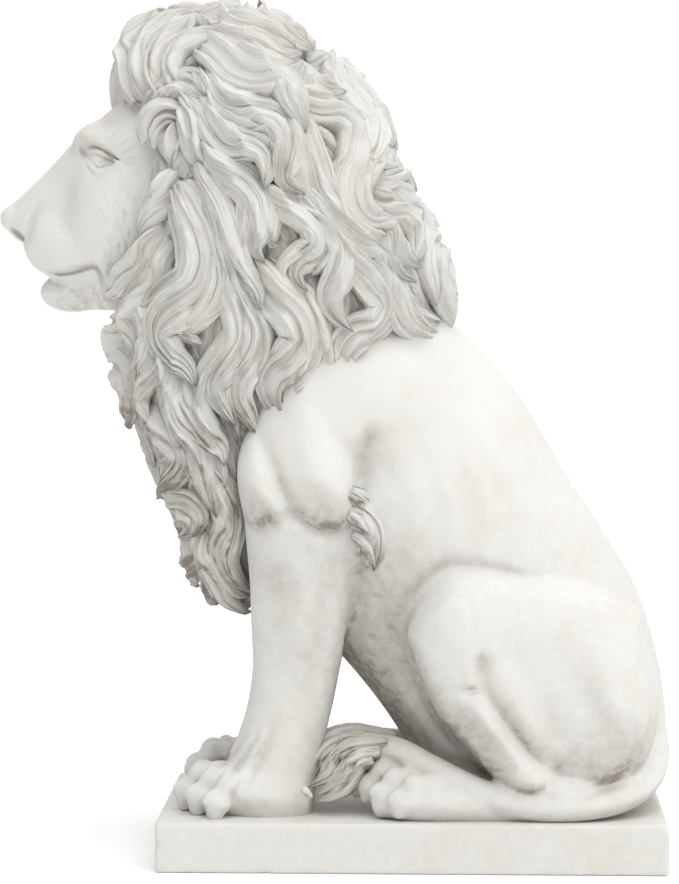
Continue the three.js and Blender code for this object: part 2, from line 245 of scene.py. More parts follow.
@dataclass
class Clay:
    """A block of clay: distances in mm from the surface, on an even grid.

    Attributes:
        low: The block's lowest corner.
        high: Its highest corner.
        grain: The distance between two grid points.
        band: How many grains deep the distances are kept on both sides of the surface.
        fade: Over what distance strokes and pads end at their limits.
    """

    low: Row
    high: Row
    grain: float
    band: int = 7
    fade: float = 4.0

    def __post_init__(self) -> None:
        """Start with an empty block."""
        self.first = np.floor(np.array(self.low) / self.grain).astype(int)
        size = np.ceil(np.array(self.high) / self.grain).astype(int) - self.first + 1
        self.field = np.full(size, self.band * self.grain, np.float32)
        self.cuts = np.zeros(size, np.float32)

    def window(self, low: np.ndarray, high: np.ndarray) -> tuple[slice, ...]:
        """Find the part of the grid between two corners.

        Args:
            low: The lower corner in mm.
            high: The higher corner in mm.

        Returns:
            A slice for each axis, cut off at the block's sides.
        """
        start = np.floor(low / self.grain).astype(int) - self.first
        end = np.ceil(high / self.grain).astype(int) - self.first + 1
        start = np.clip(start, 0, self.field.shape)
        end = np.clip(end, start, self.field.shape)
        return tuple(slice(a, b) for a, b in zip(start, end))

    def axes(self, window: tuple[slice, ...]) -> list[np.ndarray]:
        """Find the grid's coordinates in a window.

        Args:
            window: The slices of the window.

        Returns:
            An array for each axis, in mm, shaped so that the three combine to the window's shape.
        """
        return [(np.arange(part.start, part.stop) + self.first[i]).astype(np.float32)
                .reshape([-1 if i == j else 1 for j in range(3)]) * self.grain
                for i, part in enumerate(window)]

    def melt(self, window: tuple[slice, ...], piece: np.ndarray, blend: float) -> None:
        """Join a piece into a window.

        Args:
            window: The slices of the window.
            piece: The piece's distances in that window.
            blend: The width of the fillet between them; 0 gives a sharp joint.
        """
        here = self.field[window]
        if blend <= 0:
            self.field[window] = np.minimum(here, piece)
            return
        share = np.clip(0.5 + 0.5 * (here - piece) / blend, 0, 1)
        self.field[window] = here + (piece - here) * share - blend * share * (1 - share)

    def add(self, shell: Shell, blend: float = 6.0) -> None:
        """Join a closed shell.

        Args:
            shell: The shell, in triangles.
            blend: The width of the fillet round it.
        """
        grid = openvdb.FloatGrid.createLevelSetFromPolygons(
            shell.points.astype(np.float32), triangles=shell.faces.astype(np.uint32),
            transform=openvdb.createLinearTransform(voxelSize=self.grain),
            halfWidth=float(self.band))
        low, high = grid.evalActiveVoxelBoundingBox()
        low = np.maximum(np.array(low), self.first)
        high = np.minimum(np.array(high), self.first + self.field.shape - 1)
        piece = np.empty(high - low + 1, np.float32)
        grid.copyToArray(piece, ijk=tuple(int(i) for i in low))
        start = low - self.first
        self.melt(tuple(slice(a, a + n) for a, n in zip(start, piece.shape)), piece, blend)

    def oval(self, at: Row, radii: Row, tilt: float, room: float) -> tuple[Any, np.ndarray]:
        """Measure the distances from an oval ball.

        Args:
            at: Its centre.
            radii: Its three half-sizes.
            tilt: How far it leans in the side view, in degrees.
            room: How far past the ball they are measured.

        Returns:
            The window round the ball, and the distances in it.
        """
        spot, size = np.array(at, float), np.array(radii, float)
        reach = max(size) + room
        window = self.window(spot - reach, spot + reach)
        x, y, z = self.axes(window)
        turn = math.radians(tilt)
        dx, dy, dz = x - spot[0], y - spot[1], z - spot[2]
        ox = dx * math.cos(turn) - dz * math.sin(turn)
        oz = dx * math.sin(turn) + dz * math.cos(turn)
        shares = (ox / size[0]) ** 2 + (dy / size[1]) ** 2 + (oz / size[2]) ** 2
        slope = (ox / size[0] ** 2) ** 2 + (dy / size[1] ** 2) ** 2 + (oz / size[2] ** 2) ** 2
        near = np.sqrt(shares)
        return window, near * (near - 1) / np.sqrt(np.maximum(slope, 1e-9))

    def ball(self, at: Row, radii: Row, tilt: float = 0.0, side: Side = Side.LEFT,
             blend: float = 8.0) -> None:
        """Join an oval ball.

        Args:
            at: Its centre, with y outwards.
            radii: Its three half-sizes.
            tilt: How far it leans in the side view, in degrees.
            side: The flank that it is on.
            blend: The width of the fillet round it.
        """
        spot = (at[0], side.value * at[1], at[2])
        window, piece = self.oval(spot, radii, tilt, blend + 4)
        self.melt(window, piece.astype(np.float32), blend)

    def hollow(self, at: Row, radii: Row, tilt: float = 0.0, side: Side = Side.LEFT,
               blend: float = 4.0) -> None:
        """Scoop an oval hollow.

        Args:
            at: Its centre, with y outwards.
            radii: Its three half-sizes.
            tilt: How far it leans in the side view, in degrees.
            side: The flank that it is on.
            blend: The width of the rounding at its rim.
        """
        spot = (at[0], side.value * at[1], at[2])
        window, piece = self.oval(spot, radii, tilt, blend + 4)
        here = -self.field[window]
        share = np.clip(0.5 + 0.5 * (here - piece) / blend, 0, 1)
        self.field[window] = -(here + (piece - here) * share - blend * share * (1 - share))

    def stroke(self, line: Rows, width: float, depth: float, plane: Plane = Plane.SIDE,
               limits: tuple[float, float] = (-400.0, 400.0), taper: bool = True) -> None:
        """Cut a groove, or raise a ridge, along a line drawn in one plane.

        Args:
            line: Points on the plane's two axes.
            width: The half-width of the groove.
            depth: How deep it goes; a ridge has a negative depth.
            plane: The plane that the line is drawn in.
            limits: Between which values of the third axis it acts.
            taper: Whether it fades towards both ends.
        """
        first, second, through = plane.value
        path = even_line(line, max(0.45 * width, 0.7))
        share = np.linspace(0, 1, len(path))
        strength = np.sin(math.pi * np.clip(share, 0.02, 0.98)) ** 0.6 if taper else share * 0 + 1
        low, high = np.full(3, limits[0]), np.full(3, limits[1])
        low[[first, second]] = path.min(0) - 2.5 * width
        high[[first, second]] = path.max(0) + 2.5 * width
        window = self.window(low, high)
        axes = self.axes(window)
        relief = np.zeros(1, np.float32)
        for (a, b), force in zip(path, strength):
            far = (axes[first] - a) ** 2 + (axes[second] - b) ** 2
            relief = np.maximum(relief, force * np.exp(-far / width ** 2))
        ramp = np.clip((axes[through] - limits[0]) / self.fade, 0, 1)
        ramp = ramp * np.clip((limits[1] - axes[through]) / self.fade, 0, 1)
        cut = (depth * relief * ramp).astype(np.float32)
        self.field[window] += cut
        # narrow cuts hold the wash as the grooves of the hair do
        if depth > 0 and width < 5:
            self.cuts[window] = np.maximum(self.cuts[window], cut / 2.6)

    def pad(self, outline: Rows, rise: float, edge: float, plane: Plane = Plane.SIDE,
            limits: tuple[float, float] = (-400.0, 400.0)) -> None:
        """Raise the surface inside an outline drawn in one plane.

        Args:
            outline: Points round the pad on the plane's two axes.
            rise: How far it is raised.
            edge: The width of its rounded edge.
            plane: The plane that the outline is drawn in.
            limits: Between which values of the third axis it acts.
        """
        first, second, through = plane.value
        path = even_line([*outline, outline[0]], 4.0)
        low, high = np.full(3, limits[0]), np.full(3, limits[1])
        low[[first, second]] = path.min(0) - edge
        high[[first, second]] = path.max(0) + edge
        window = self.window(low, high)
        axes = self.axes(window)
        a, b = axes[first], axes[second]
        away = np.full(np.broadcast_shapes(a.shape, b.shape), 1e9, np.float32)
        inside = np.zeros(away.shape, bool)
        for (a0, b0), (a1, b1) in zip(path[:-1], path[1:]):
            away = np.minimum(away, (a - a0) ** 2 + (b - b0) ** 2)
            crossed = (b0 > b) != (b1 > b)
            inside ^= crossed & (a < a0 + (b - b0) * (a1 - a0) / (b1 - b0 if b1 != b0 else 1e-9))
        signed = np.where(inside, 1, -1) * np.sqrt(away)
        share = np.clip(0.5 + signed / edge, 0, 1)
        share = share * share * (3 - 2 * share)
        ramp = np.clip((axes[through] - limits[0]) / self.fade, 0, 1)
        ramp = ramp * np.clip((limits[1] - axes[through]) / self.fade, 0, 1)
        self.field[window] -= (rise * share * ramp).astype(np.float32)

    def outermost(self, x: float, z: float, side: Side) -> float:
        """Find how far out the surface lies at a place of the side view.

        Args:
            x: The place along the lion.
            z: Its height.
            side: The flank.

        Returns:
            The distance from the middle plane.
        """
        i, _, k = (np.array([x, 0.0, z]) / self.grain - self.first).round().astype(int)
        column = self.field[i, :, k]
        solid = np.nonzero(column < 0)[0]
        end = solid[0] if side is Side.LEFT else solid[-1]
        return abs(float((end + self.first[1]) * self.grain))

    def wipe(self) -> None:
        """Even out the surface by about a grain, as a wet sponge does."""
        for axis in range(3):
            ahead = np.roll(self.field, 1, axis)
            self.field = (2 * self.field + ahead + np.roll(self.field, -1, axis)) / 4

    def surface(self) -> Shell:
        """Skin the clay.

        Returns:
            The surface as a shell of faces with four corners, with the depth of the cuts as groove.
        """
        grid = openvdb.FloatGrid(self.band * self.grain)
        grid.transform = openvdb.createLinearTransform(voxelSize=self.grain)
        grid.copyFromArray(self.field, ijk=tuple(int(i) for i in self.first))
        points, _, quads = grid.convertToPolygons(isovalue=0.0, adaptivity=0.0)
        corners = points[quads]
        way = np.cross(corners[:, 1] - corners[:, 0], corners[:, 2] - corners[:, 0])
        if np.einsum("ij,ij->i", corners[:, 0].astype(float), way).sum() < 0:
            quads = quads[:, ::-1]
        spot = np.round(points / self.grain).astype(int) - self.first
        spot = np.clip(spot, 0, np.array(self.field.shape) - 1)
        groove = np.minimum(self.cuts[tuple(spot.T)], 1.1)
        return Shell(points.astype(float), quads.astype(int), groove)


# The side drawing and the ground of the mane

@dataclass(frozen=True)
class SideDrawing:
    """The side view that the carving is drawn on, as seen from a short way off the left flank.

    A step of the drawing is about 0.8 mm on the flank and a little more further off.

    Attributes:
        centre: The drawing's point that the eye looks straight at.
        middle: The x and z of that point in mm.
        eye_distance: How far the eye is from the lion's middle plane.
        steps: How many steps of the drawing the same distance counts.
    """

    centre: tuple[float, float] = (451.0, 229.0)
    middle: tuple[float, float] = (31.8, 532.0)
    eye_distance: float = 2750.0
    steps: float = 3215.0

    def place(self, drawn: np.ndarray, depth: np.ndarray) -> np.ndarray:
        """Find the places of drawn points.

        Args:
            drawn: Points of the drawing, counted from its top left.
            depth: The y that each point lies at.

        Returns:
            Rows of x and z.
        """
        scale = (self.eye_distance + depth) / self.steps
        return np.column_stack([
            self.middle[0] + (drawn[:, 0] - self.centre[0]) * scale,
            self.middle[1] + (self.centre[1] - drawn[:, 1]) * scale,
        ])

    def at(self, drawn: Rows, depth: float) -> list[tuple[float, float]]:
        """Find the places of drawn points at one depth.

        Args:
            drawn: Points of the drawing.
            depth: The y that they all lie at.

        Returns:
            The x and z of each.
        """
        rows = np.asarray(drawn, float)
        return [tuple(p) for p in self.place(rows, np.full(len(rows), depth))]


DRAWING = SideDrawing()


@dataclass(frozen=True)
class ManeGround:
    """The round form that the locks lie on, from the crown down to the point of the bib.

    Attributes:
        sections: Rows of height, front, back, half-width and how blunt the front is.
        cover: How far the drawn lines of the locks lie outside it.
    """

    sections: Table = (
        (704, -204, -146, 12, 2.0),
        (694, -228, -118, 36, 2.0),
        (672, -240, -86, 60, 2.2),
        (642, -237, -56, 79, 2.8),
        (608, -228, -36, 93, 3.4),
        (566, -224, -16, 99, 3.6),
        (524, -230, 4, 103, 3.4),
        (482, -244, 20, 104, 3.0),
        (444, -248, 10, 99, 2.6),
        (404, -240, -40, 94, 2.4),
        (362, -228, -96, 85, 2.2),
        (320, -209, -122, 74, 2.1),
        (280, -191, -130, 60, 2.0),
        (244, -178, -136, 42, 2.0),
        (212, -160, -140, 18, 2.0),
    )
    cover: float = 13.0

    @cached_property
    def table(self) -> np.ndarray:
        """The sections at small steps, from the bib up."""
        return smooth_line(self.sections, 280)[::-1]

    def section(self, z: np.ndarray) -> list[np.ndarray]:
        """Return the ground's front, back, half-width and bluntness at the given heights."""
        return [np.interp(z, self.table[:, 0], self.table[:, i]) for i in range(1, 5)]

    def wide(self, share: np.ndarray, half: np.ndarray, blunt: np.ndarray) -> np.ndarray:
        """Find the half-width between front and back.

        Args:
            share: The place, from -1 in front to 1 behind.
            half: The half-width of each section.
            blunt: How blunt the front of each section is.

        Returns:
            The half-width at each place.
        """
        power = np.where(share < 0, blunt, 2.0)
        return half * np.maximum(1 - np.abs(share) ** power, 0) ** (1 / power)

    def settle(self, flat: np.ndarray, side: Side) -> np.ndarray:
        """Drop points of the side view on to the ground.

        Args:
            flat: Rows of x and z.
            side: The flank.

        Returns:
            Rows of x, y and z on the ground.
        """
        z = np.clip(flat[:, 1], 214, 702)
        front, back, half, blunt = self.section(z)
        reach = (back - front) / 2 + self.cover
        share = np.clip((flat[:, 0] - (front + back) / 2) / reach, -0.99, 0.99)
        x = (front + back) / 2 + (back - front) / 2 * share
        return np.column_stack([x, side.value * self.wide(share, half, blunt), z])

    def turned(self, angle: np.ndarray, z: np.ndarray, side: Side) -> np.ndarray:
        """Find points of the ground by their direction.

        Args:
            angle: The angles from the back, in degrees.
            z: The heights.
            side: The flank.

        Returns:
            Rows of x, y and z.
        """
        front, back, half, blunt = self.section(z)
        share = np.cos(np.radians(angle))
        wide = self.wide(share, half, blunt)
        return np.column_stack([(front + back) / 2 + (back - front) / 2 * share,
                                side.value * wide, z])

    def middle(self, points: np.ndarray) -> np.ndarray:
        """Find the middle of the ground beside points.

        Args:
            points: Rows of x, y and z.

        Returns:
            The middle of the ground at each point's height.
        """
        front, back, _, _ = self.section(points[:, 2])
        return np.column_stack([(front + back) / 2, np.zeros(len(points)), points[:, 2]])

    def rise(self, points: np.ndarray) -> np.ndarray:
        """Measure how far outside the ground points lie.

        Args:
            points: Rows of x, y and z.

        Returns:
            A share for each: 1 on the ground, less inside and more outside.
        """
        front, back, half, blunt = self.section(points[:, 2])
        share = (points[:, 0] - (front + back) / 2) / ((back - front) / 2)
        power = np.where(share < 0, blunt, 2.0)
        value = np.abs(share) ** power + np.abs(points[:, 1] / half) ** power
        return value ** (1 / power)

    def normals(self, points: np.ndarray) -> np.ndarray:
        """Find the ground's outward directions.

        Args:
            points: Rows of x, y and z on the ground.

        Returns:
            A direction of length one at each.
        """
        steps = np.eye(3) * 2.0
        slope = [self.rise(points + step) - self.rise(points - step) for step in steps]
        return unit(np.column_stack(slope))


GROUND = ManeGround()


# Locks of hair

@dataclass(frozen=True)
class Lock:
    """A lock drawn on the side drawing, from root to tip.

    Attributes:
        line: Points of its centre line, in steps of the drawing.
        width: Its width in the same steps.
        layer: How many lock thicknesses it lies over its neighbours.
        lift: How far its tip stands off, 1 being usual.
        roll: How far its far edge is raised over its near edge.
    """

    line: tuple[tuple[float, float], ...]
    width: float = 22.0
    layer: float = 1.0
    lift: float = 1.0
    roll: float = 0.0


@dataclass
class Carver:
    """Carves locks as ridged ribbons and gathers them in one shell.

    Attributes:
        seed: The seed of the small differences between locks.
        strand: The width of one strand in mm.
        ridge: How far a strand stands up in mm.
        flute: How deep the few wide flutes of a lock are, as a share of its thickness.
        split: On which sides of a drawn lock a thinner one parts from it.
        wash: How much more wash its locks keep than others.
    """

    seed: int
    strand: float = 3.2
    ridge: float = 0.6
    flute: float = 0.36
    split: tuple[int, ...] = (-1, 1)
    wash: float = 0.0

    def __post_init__(self) -> None:
        """Start with no locks."""
        self.chance = np.random.default_rng(self.seed)
        self.parts: list[Shell] = []
        self.flow: list[np.ndarray] = []

    def ribbon(self, path: np.ndarray, normals: np.ndarray, width: float, thick: float,
               roll: float = 0.0, bury: float = 9.0) -> None:
        """Carve one lock.

        Args:
            path: The points of its centre line, evenly spaced, with its lift in them.
            normals: The outward direction at each point.
            width: Its full width.
            thick: How far its middle stands up over its path.
            roll: How far one edge is raised over the other, as a slope.
            bury: How far its underside lies below its path.
        """
        chance = self.chance
        along = unit(np.gradient(path, axis=0))
        out = unit(normals - along * np.sum(normals * along, axis=1, keepdims=True))
        across = np.cross(along, out)
        count = len(path)
        share = np.linspace(0, 1, count)
        swell = np.interp(share, [0, 0.1, 0.3, 0.6, 0.8, 0.92, 1],
                          [0.6, 0.85, 1.0, 0.9, 0.6, 0.3, 0.03])
        step = np.linalg.norm(np.gradient(path, axis=0), axis=1)
        bend = np.sum(np.gradient(along, axis=0) * across, axis=1) / np.maximum(step, 1e-6)
        bend = np.convolve(np.pad(bend, 2, mode="edge"), np.ones(5) / 5, mode="valid")
        half = width / 2 * swell
        near = np.where(bend < 0, np.minimum(half, 0.82 / np.maximum(-bend, 1e-4)), half)
        far = np.where(bend > 0, np.minimum(half, 0.82 / np.maximum(bend, 1e-4)), half)

        strands = max(3, round(width / self.strand))
        cuts = np.r_[0, np.cumsum(chance.lognormal(0, 0.5, strands))]
        cuts = cuts / cuts[-1] * 2 - 1
        waves = chance.uniform(0, 2 * math.pi, strands + 1)
        drift = np.zeros((count, strands + 1))
        drift[:, 1:-1] = 0.45 / strands * np.sin(share[:, None] * 6 + waves[None, 1:-1])
        cuts = cuts[None, :] + drift
        depth = chance.choice([0.15, 0.45, 1.0, 2.4], strands, p=[0.3, 0.3, 0.24, 0.16])
        depth = depth[None, :] * (1 + 0.5 * np.sin(share[:, None] * 8 + waves[None, :-1]))
        offset = np.convolve(chance.normal(0, 0.15, strands + 3), [0.6, 1, 0.6], "valid") * thick
        place, height, valley = [], [], []
        for j in range(strands):
            gap = cuts[:, j + 1] - cuts[:, j]
            for phase in (0.0, 0.35, 0.7):
                here = offset[j] * (1 - phase) + offset[j + 1] * phase
                place.append(cuts[:, j] + gap * phase)
                height.append(here - (1 if phase else 0) * self.ridge * depth[:, j])
                valley.append(np.minimum(depth[:, j], 1.4) * (0.8 if phase else 0.0))
        place.append(cuts[:, -1])
        height.append(np.zeros(count))
        valley.append(np.ones(count))
        place, height = np.array(place).T, np.array(height).T
        crest = (0.6 * np.tanh(bend * width * 1.1) + chance.uniform(-0.15, 0.15))[:, None]
        down = np.where(place < crest, (crest - place) / (1 + crest), (place - crest) / (1 - crest))
        inside = np.where(place < crest, -1, 1) * np.sign(crest) > 0
        steep = np.clip(np.abs(crest) * 1.7, 0, 1)
        gentle = (1 - down) ** 1.35 - 0.45 * down * steep
        sheer = 1 - down ** 1.8
        crown = np.where(inside, gentle + (sheer - gentle) * steep, gentle)
        edge = np.clip((1 - np.abs(place)) * 8, 0, 1)
        flutes = max(2, round(width / 10))
        turn = flutes * (place + 1) / 2 + 0.3 * np.sin(share * 5 + waves[0])[:, None] + waves[-1]
        flute = 0.64 - np.abs(np.sin(math.pi * turn))
        height = height + self.flute * thick * flute
        fade = np.sqrt(swell)[:, None]
        rise = (thick * crown + height * edge) * fade
        under = np.array([0.93, 0.4, -0.4, -0.93])
        deep = -bury * np.interp(share, [0, 0.6, 0.85, 1], [1, 1, 0.45, 0.02])
        place = np.hstack([place, np.tile(under, (count, 1))])
        rise = np.hstack([rise, np.tile(deep[:, None], (1, 4))])
        valley = np.hstack([np.array(valley).T, np.ones((count, 4))])
        sideways = np.where(place < 0, place * near[:, None], place * far[:, None])
        rise = rise + roll * sideways
        rings = (path[:, None] + sideways[..., None] * across[:, None]
                 + rise[..., None] * out[:, None])
        shell = skin(rings)
        shell.groove = np.r_[valley.reshape(-1), 0.5, 0.5] + self.wash
        run = np.r_[0, np.cumsum(np.linalg.norm(np.diff(path, axis=0), axis=1))]
        hair = np.stack([place * width / 2, np.broadcast_to(run[:, None], place.shape),
                         np.full(place.shape, chance.uniform(20, 900))], -1).reshape(-1, 3)
        shell.hair = np.vstack([hair, hair[:1], hair[-1:]])
        self.parts.append(shell)

    def lay(self, lock: Lock, side: Side) -> None:
        """Carve a drawn lock on the mane's ground.

        Args:
            lock: The drawn lock.
            side: The flank; on the right one it differs a little.
        """
        drawn = np.array(lock.line, float)
        if side is Side.RIGHT:
            drawn = drawn + self.chance.normal(0, 2.2, drawn.shape)
        drawn = smooth_line(drawn, 16 * len(drawn))
        depth = np.full(len(drawn), -90.0)
        for _ in range(4):
            settled = GROUND.settle(DRAWING.place(drawn, depth), side)
            depth = -np.abs(settled[:, 1])
        for _ in range(6):
            settled[1:-1] = (settled[:-2] + 2 * settled[1:-1] + settled[2:]) / 4
        self.flow.append(settled[::4])
        width = lock.width * 1.45
        path = even_line(settled[::4], 3.5)
        normals = GROUND.normals(path)
        share = np.linspace(0, 1, len(path))
        lift = np.interp(share, [0, 0.12, 0.5, 0.85, 1], [-4, 2, 5, 7, 9]) * lock.lift
        path = path + normals * (lift + 4.5 * lock.layer)[:, None]
        thick = min(5.0 + 0.2 * width, 12.0)
        self.ribbon(path, normals, width, thick, roll=lock.roll, bury=12)
        along = unit(np.gradient(path, axis=0))
        aside = np.cross(along, normals)
        for turn in self.split:
            if lock.width < 21 or self.chance.random() > 0.5:
                continue
            start = round(len(path) * self.chance.uniform(0.1, 0.4))
            end = round(len(path) * self.chance.uniform(0.78, 1.0))
            part = slice(start, max(end, start + 8))
            share = np.linspace(0, 1, len(path[part]))
            away = turn * width * np.interp(share, [0, 0.4, 0.8, 1], [0.05, 0.32, 0.36, 0.46])
            line = path[part] + aside[part] * away[:, None] - normals[part] * 2.5
            line = even_line(line[::3], 3.5)
            self.ribbon(line, GROUND.normals(line), width * 0.5, thick * 0.8, bury=12)

    def free(self, points: Rows, towards: Row, width: float, thick: float,
             side: Side = Side.LEFT, bury: float = 6.0) -> None:
        """Carve a lock along free points.

        Args:
            points: Its centre line, with y outwards.
            towards: Its outward direction, with y outwards.
            width: Its full width.
            thick: How far it stands up.
            side: The flank that it is on.
            bury: How far it goes below its line.
        """
        path = even_line(points, 2.6) * [1, side.value, 1]
        out = np.tile(unit(np.array(towards, float) * [1, side.value, 1]), (len(path), 1))
        self.ribbon(path, out, width, thick, bury=bury)

    def gathered(self) -> Shell:
        """Return all locks as one shell."""
        starts = np.cumsum([0] + [len(part.points) for part in self.parts])
        faces = [part.faces + start for part, start in zip(self.parts, starts)]
        return Shell(np.vstack([part.points for part in self.parts]), np.vstack(faces),
                     np.concatenate([part.groove for part in self.parts]),
                     np.vstack([part.hair for part in self.parts]))


# From shells to pieces

def make_piece(name: str, shell: Shell, most: int = 190000) -> bpy.types.Object:
    """Turn a shell into a piece of the scene.

    Args:
        name: The piece's name.
        shell: Its shell in mm.
        most: The most triangles that it may have.

    Returns:
        The object, smooth-shaded and in metres.
    """
    mesh = bpy.data.meshes.new(name)
    mesh.from_pydata((shell.points * MM).tolist(), [], shell.faces.tolist())
    if shell.groove is not None:
        mesh.attributes.new("groove", "FLOAT", "POINT").data.foreach_set("value", shell.groove)
    if shell.hair is not None:
        mesh.attributes.new("hair", "FLOAT_VECTOR", "POINT").data.foreach_set(
            "vector", shell.hair.reshape(-1))
    mesh.update()
    piece = bpy.data.objects.new(name, mesh)
    bpy.context.scene.collection.objects.link(piece)
    triangles = len(shell.faces) * (shell.faces.shape[1] - 2)
    if triangles > most:
        fewer = piece.modifiers.new("fewer", "DECIMATE")
        fewer.ratio = most / triangles
        graph = bpy.context.evaluated_depsgraph_get()
        thinned = bpy.data.meshes.new_from_object(piece.evaluated_get(graph))
        piece.modifiers.clear()
        piece.data = thinned
        bpy.data.meshes.remove(mesh)
        thinned.name = name
    piece.data.shade_smooth()
    return piece


def carry(piece: bpy.types.Object, finish: bpy.types.Material) -> None:
    """Give a piece its finish and tell the frame what it stands for.

    Args:
        piece: The piece.
        finish: Its material.
    """
    piece.data.materials.clear()
    piece.data.materials.append(finish)
    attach(piece, "root")
    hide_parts("lion_statue")
    corners = sum(len(face.vertices) - 2 for face in piece.data.polygons)
    LOG.info("%s: %d triangles", piece.name, corners)


# The body

@dataclass
class Body:
    """The trunk, the legs with their paws, and the tail, modelled as one piece of clay.

    Attributes:
        grain: The distance between two points of the clay's grid.
        trunk: Sections of front x, front z, back x, back z and half-width, from the chest back.
        fore_leg: Stations of x, y (outwards), z, half-depth and half-width, as in all limbs.
        fore_paw: Stations of the fore paw, from the wrist to the toes.
        thigh: Stations of the thigh, from the haunch to the knee.
        shank: Stations from the knee down to the hock.
        hind_foot: Stations from the hock to the toes.
        tail: Points of the tail, from its root round the hind foot.
        fore_toes: Each toe's knuckle (x, y outwards, z) and how far it points outwards.
        hind_toes: The same of the hind paw.
        toe: Stations of a toe as shares of its radius: ahead, up and thickness.
        claw: The same of its claw.
        fore_toe_radius: The thickness of a fore toe.
        hind_toe_radius: The thickness of a hind toe.
        muscle_depth: The y that the muscles are drawn at.
        relief_depth: The y that the pads and the elbow's curls are drawn at.
        tail_thickness: The tail's thickness.
        plinth_top: The height of the ground that it sits on.
        most_triangles: The most triangles of its piece.
        carver: Carves the curls of the elbows.
    """

    grain: float = 1.8
    trunk: Table = (
        (-190, 360, -20, 500, 70), (-176, 315, 22, 462, 92), (-150, 262, 66, 421, 101),
        (-115, 224, 97, 382, 103), (-76, 182, 127, 331, 100), (-42, 143, 162, 277, 98),
        (-14, 104, 191, 226, 95), (2, 70, 208, 172, 90), (12, 48, 217, 115, 86),
        (24, 30, 215, 62, 82),
    )
    fore_leg: Table = (
        (-52, 70, 405, 58, 26), (-72, 78, 370, 60, 34), (-90, 80, 330, 54, 36),
        (-93, 76, 290, 48, 34), (-93, 70, 240, 44, 32), (-95, 67, 200, 41, 31),
        (-99, 65, 160, 36, 29), (-105, 64, 125, 35, 29), (-112, 64, 98, 36, 29.5),
        (-119, 64, 70, 38, 31), (-123, 64, 40, 39, 32),
    )
    fore_paw: Table = (
        (-88, 64, 50, 10, 20), (-104, 65, 54, 22, 30), (-130, 69, 60, 26, 34),
        (-148, 71, 60, 22, 31), (-162, 70, 56, 17, 27), (-174, 68, 50, 10, 22),
    )
    thigh: Table = (
        (156, 62, 140, 84, 40), (114, 73, 160, 81, 45), (74, 81, 178, 71, 39),
        (40, 87, 195, 51, 31), (12, 90, 200, 27, 21), (-4, 90, 200, 9, 8),
    )
    shank: Table = (
        (34, 88, 214, 34, 28), (43, 96, 186, 39, 26), (60, 100, 148, 37, 24),
        (80, 99, 110, 27, 21), (96, 96, 80, 19, 18), (104, 94, 56, 15, 17),
    )
    hind_foot: Table = (
        (112, 92, 52, 14, 16), (84, 93, 54, 18, 19), (48, 94, 54, 18, 21),
        (18, 94, 58, 21, 26), (0, 92, 58, 20, 27), (-16, 89, 56, 16, 25),
        (-30, 87, 50, 10, 20),
    )
    tail: Table = (
        (198, 0, 120), (205, -30, 90), (198, -62, 72), (180, -88, 61), (152, -104, 55),
        (118, -108, 53), (82, -107, 57), (48, -100, 69), (16, -92, 84), (-12, -82, 97),
        (-38, -74, 101),
    )
    fore_toes: Table = (
        (-153, 98, 66, 28), (-168, 83, 68, 16), (-179, 66, 69, 4), (-179, 48, 68, -8),
    )
    hind_toes: Table = (
        (1, 110, 69, 16), (-15, 98, 72, 10), (-26, 84, 77, 4), (-34, 70, 79, 0),
    )
    toe: Table = (
        (-3.0, 0.15, 0.6), (-1.5, 0.45, 0.8), (-0.75, 0.35, 0.72), (-0.1, 0.3, 1.0),
        (0.42, -0.35, 0.74), (0.8, -0.95, 0.98), (1.05, -1.7, 0.72), (0.9, -2.3, 0.5),
    )
    claw: Table = (
        (0.9, -0.25, 0.44), (1.45, -0.4, 0.42), (1.85, -0.8, 0.32), (2.05, -1.4, 0.12),
    )
    fore_toe_radius: float = 11.5
    hind_toe_radius: float = 10.5
    muscle_depth: float = -96.0
    relief_depth: float = -98.0
    tail_thickness: float = 23.0
    plinth_top: float = 42.0
    most_triangles: int = 170000
    carver: Carver = field(default_factory=lambda: Carver(63, 2.2, 0.8, 0.2))

    def toes(self, clay: Clay, side: Side, toes: Rows, radius: float) -> None:
        """Model the toes of a paw with their claws.

        Args:
            clay: The clay to add to.
            side: The flank.
            toes: For each toe its knuckle's x, y and z and how far it points outwards, in degrees.
            radius: The thickness of a toe.
        """
        for x, y, z, turn in toes:
            ahead = np.array([-math.cos(math.radians(turn)), math.sin(math.radians(turn)), 0.0])
            for part, blend in ((self.toe, 1.1), (self.claw, 0.5)):
                stations = []
                for along, up, thick in part:
                    spot = np.array([x, y, z]) + ahead * along * radius
                    stations.append((spot[0], spot[1], z + up * radius, thick * radius,
                                     thick * radius * 0.84))
                clay.add(limb(stations, side, 20, 40), blend)

    def fore(self, clay: Clay, side: Side) -> None:
        """Model a fore leg, its shoulder, upper arm and paw.

        Args:
            clay: The clay to add to.
            side: The flank.
        """
        clay.add(limb(self.fore_leg, side), 8)
        clay.add(limb(self.fore_paw, side), 8)
        for at, radii, tilt, blend in (
            ((-50, 72, 376), (76, 37, 68), 0, 12),
            ((-120, 92, 326), (23, 20, 42), -6, 12),
            ((-76, 94, 322), (32, 22, 46), 8, 11),
            ((-104, 78, 262), (24, 24, 34), 4, 10),
        ):
            clay.ball(at, radii, tilt, side, blend)
        self.toes(clay, side, self.fore_toes, self.fore_toe_radius)
        flat = DRAWING.at(((301, 792), (307, 798), (312, 803), (317, 806)), -104.0)
        spots = [(x, side.value * (102.0 - 0.4 * i), z) for i, (x, z) in enumerate(flat)]
        clay.add(cord(spots, (4.6, 4.0, 3.0, 1.2), 1.0, 12), 4.0)

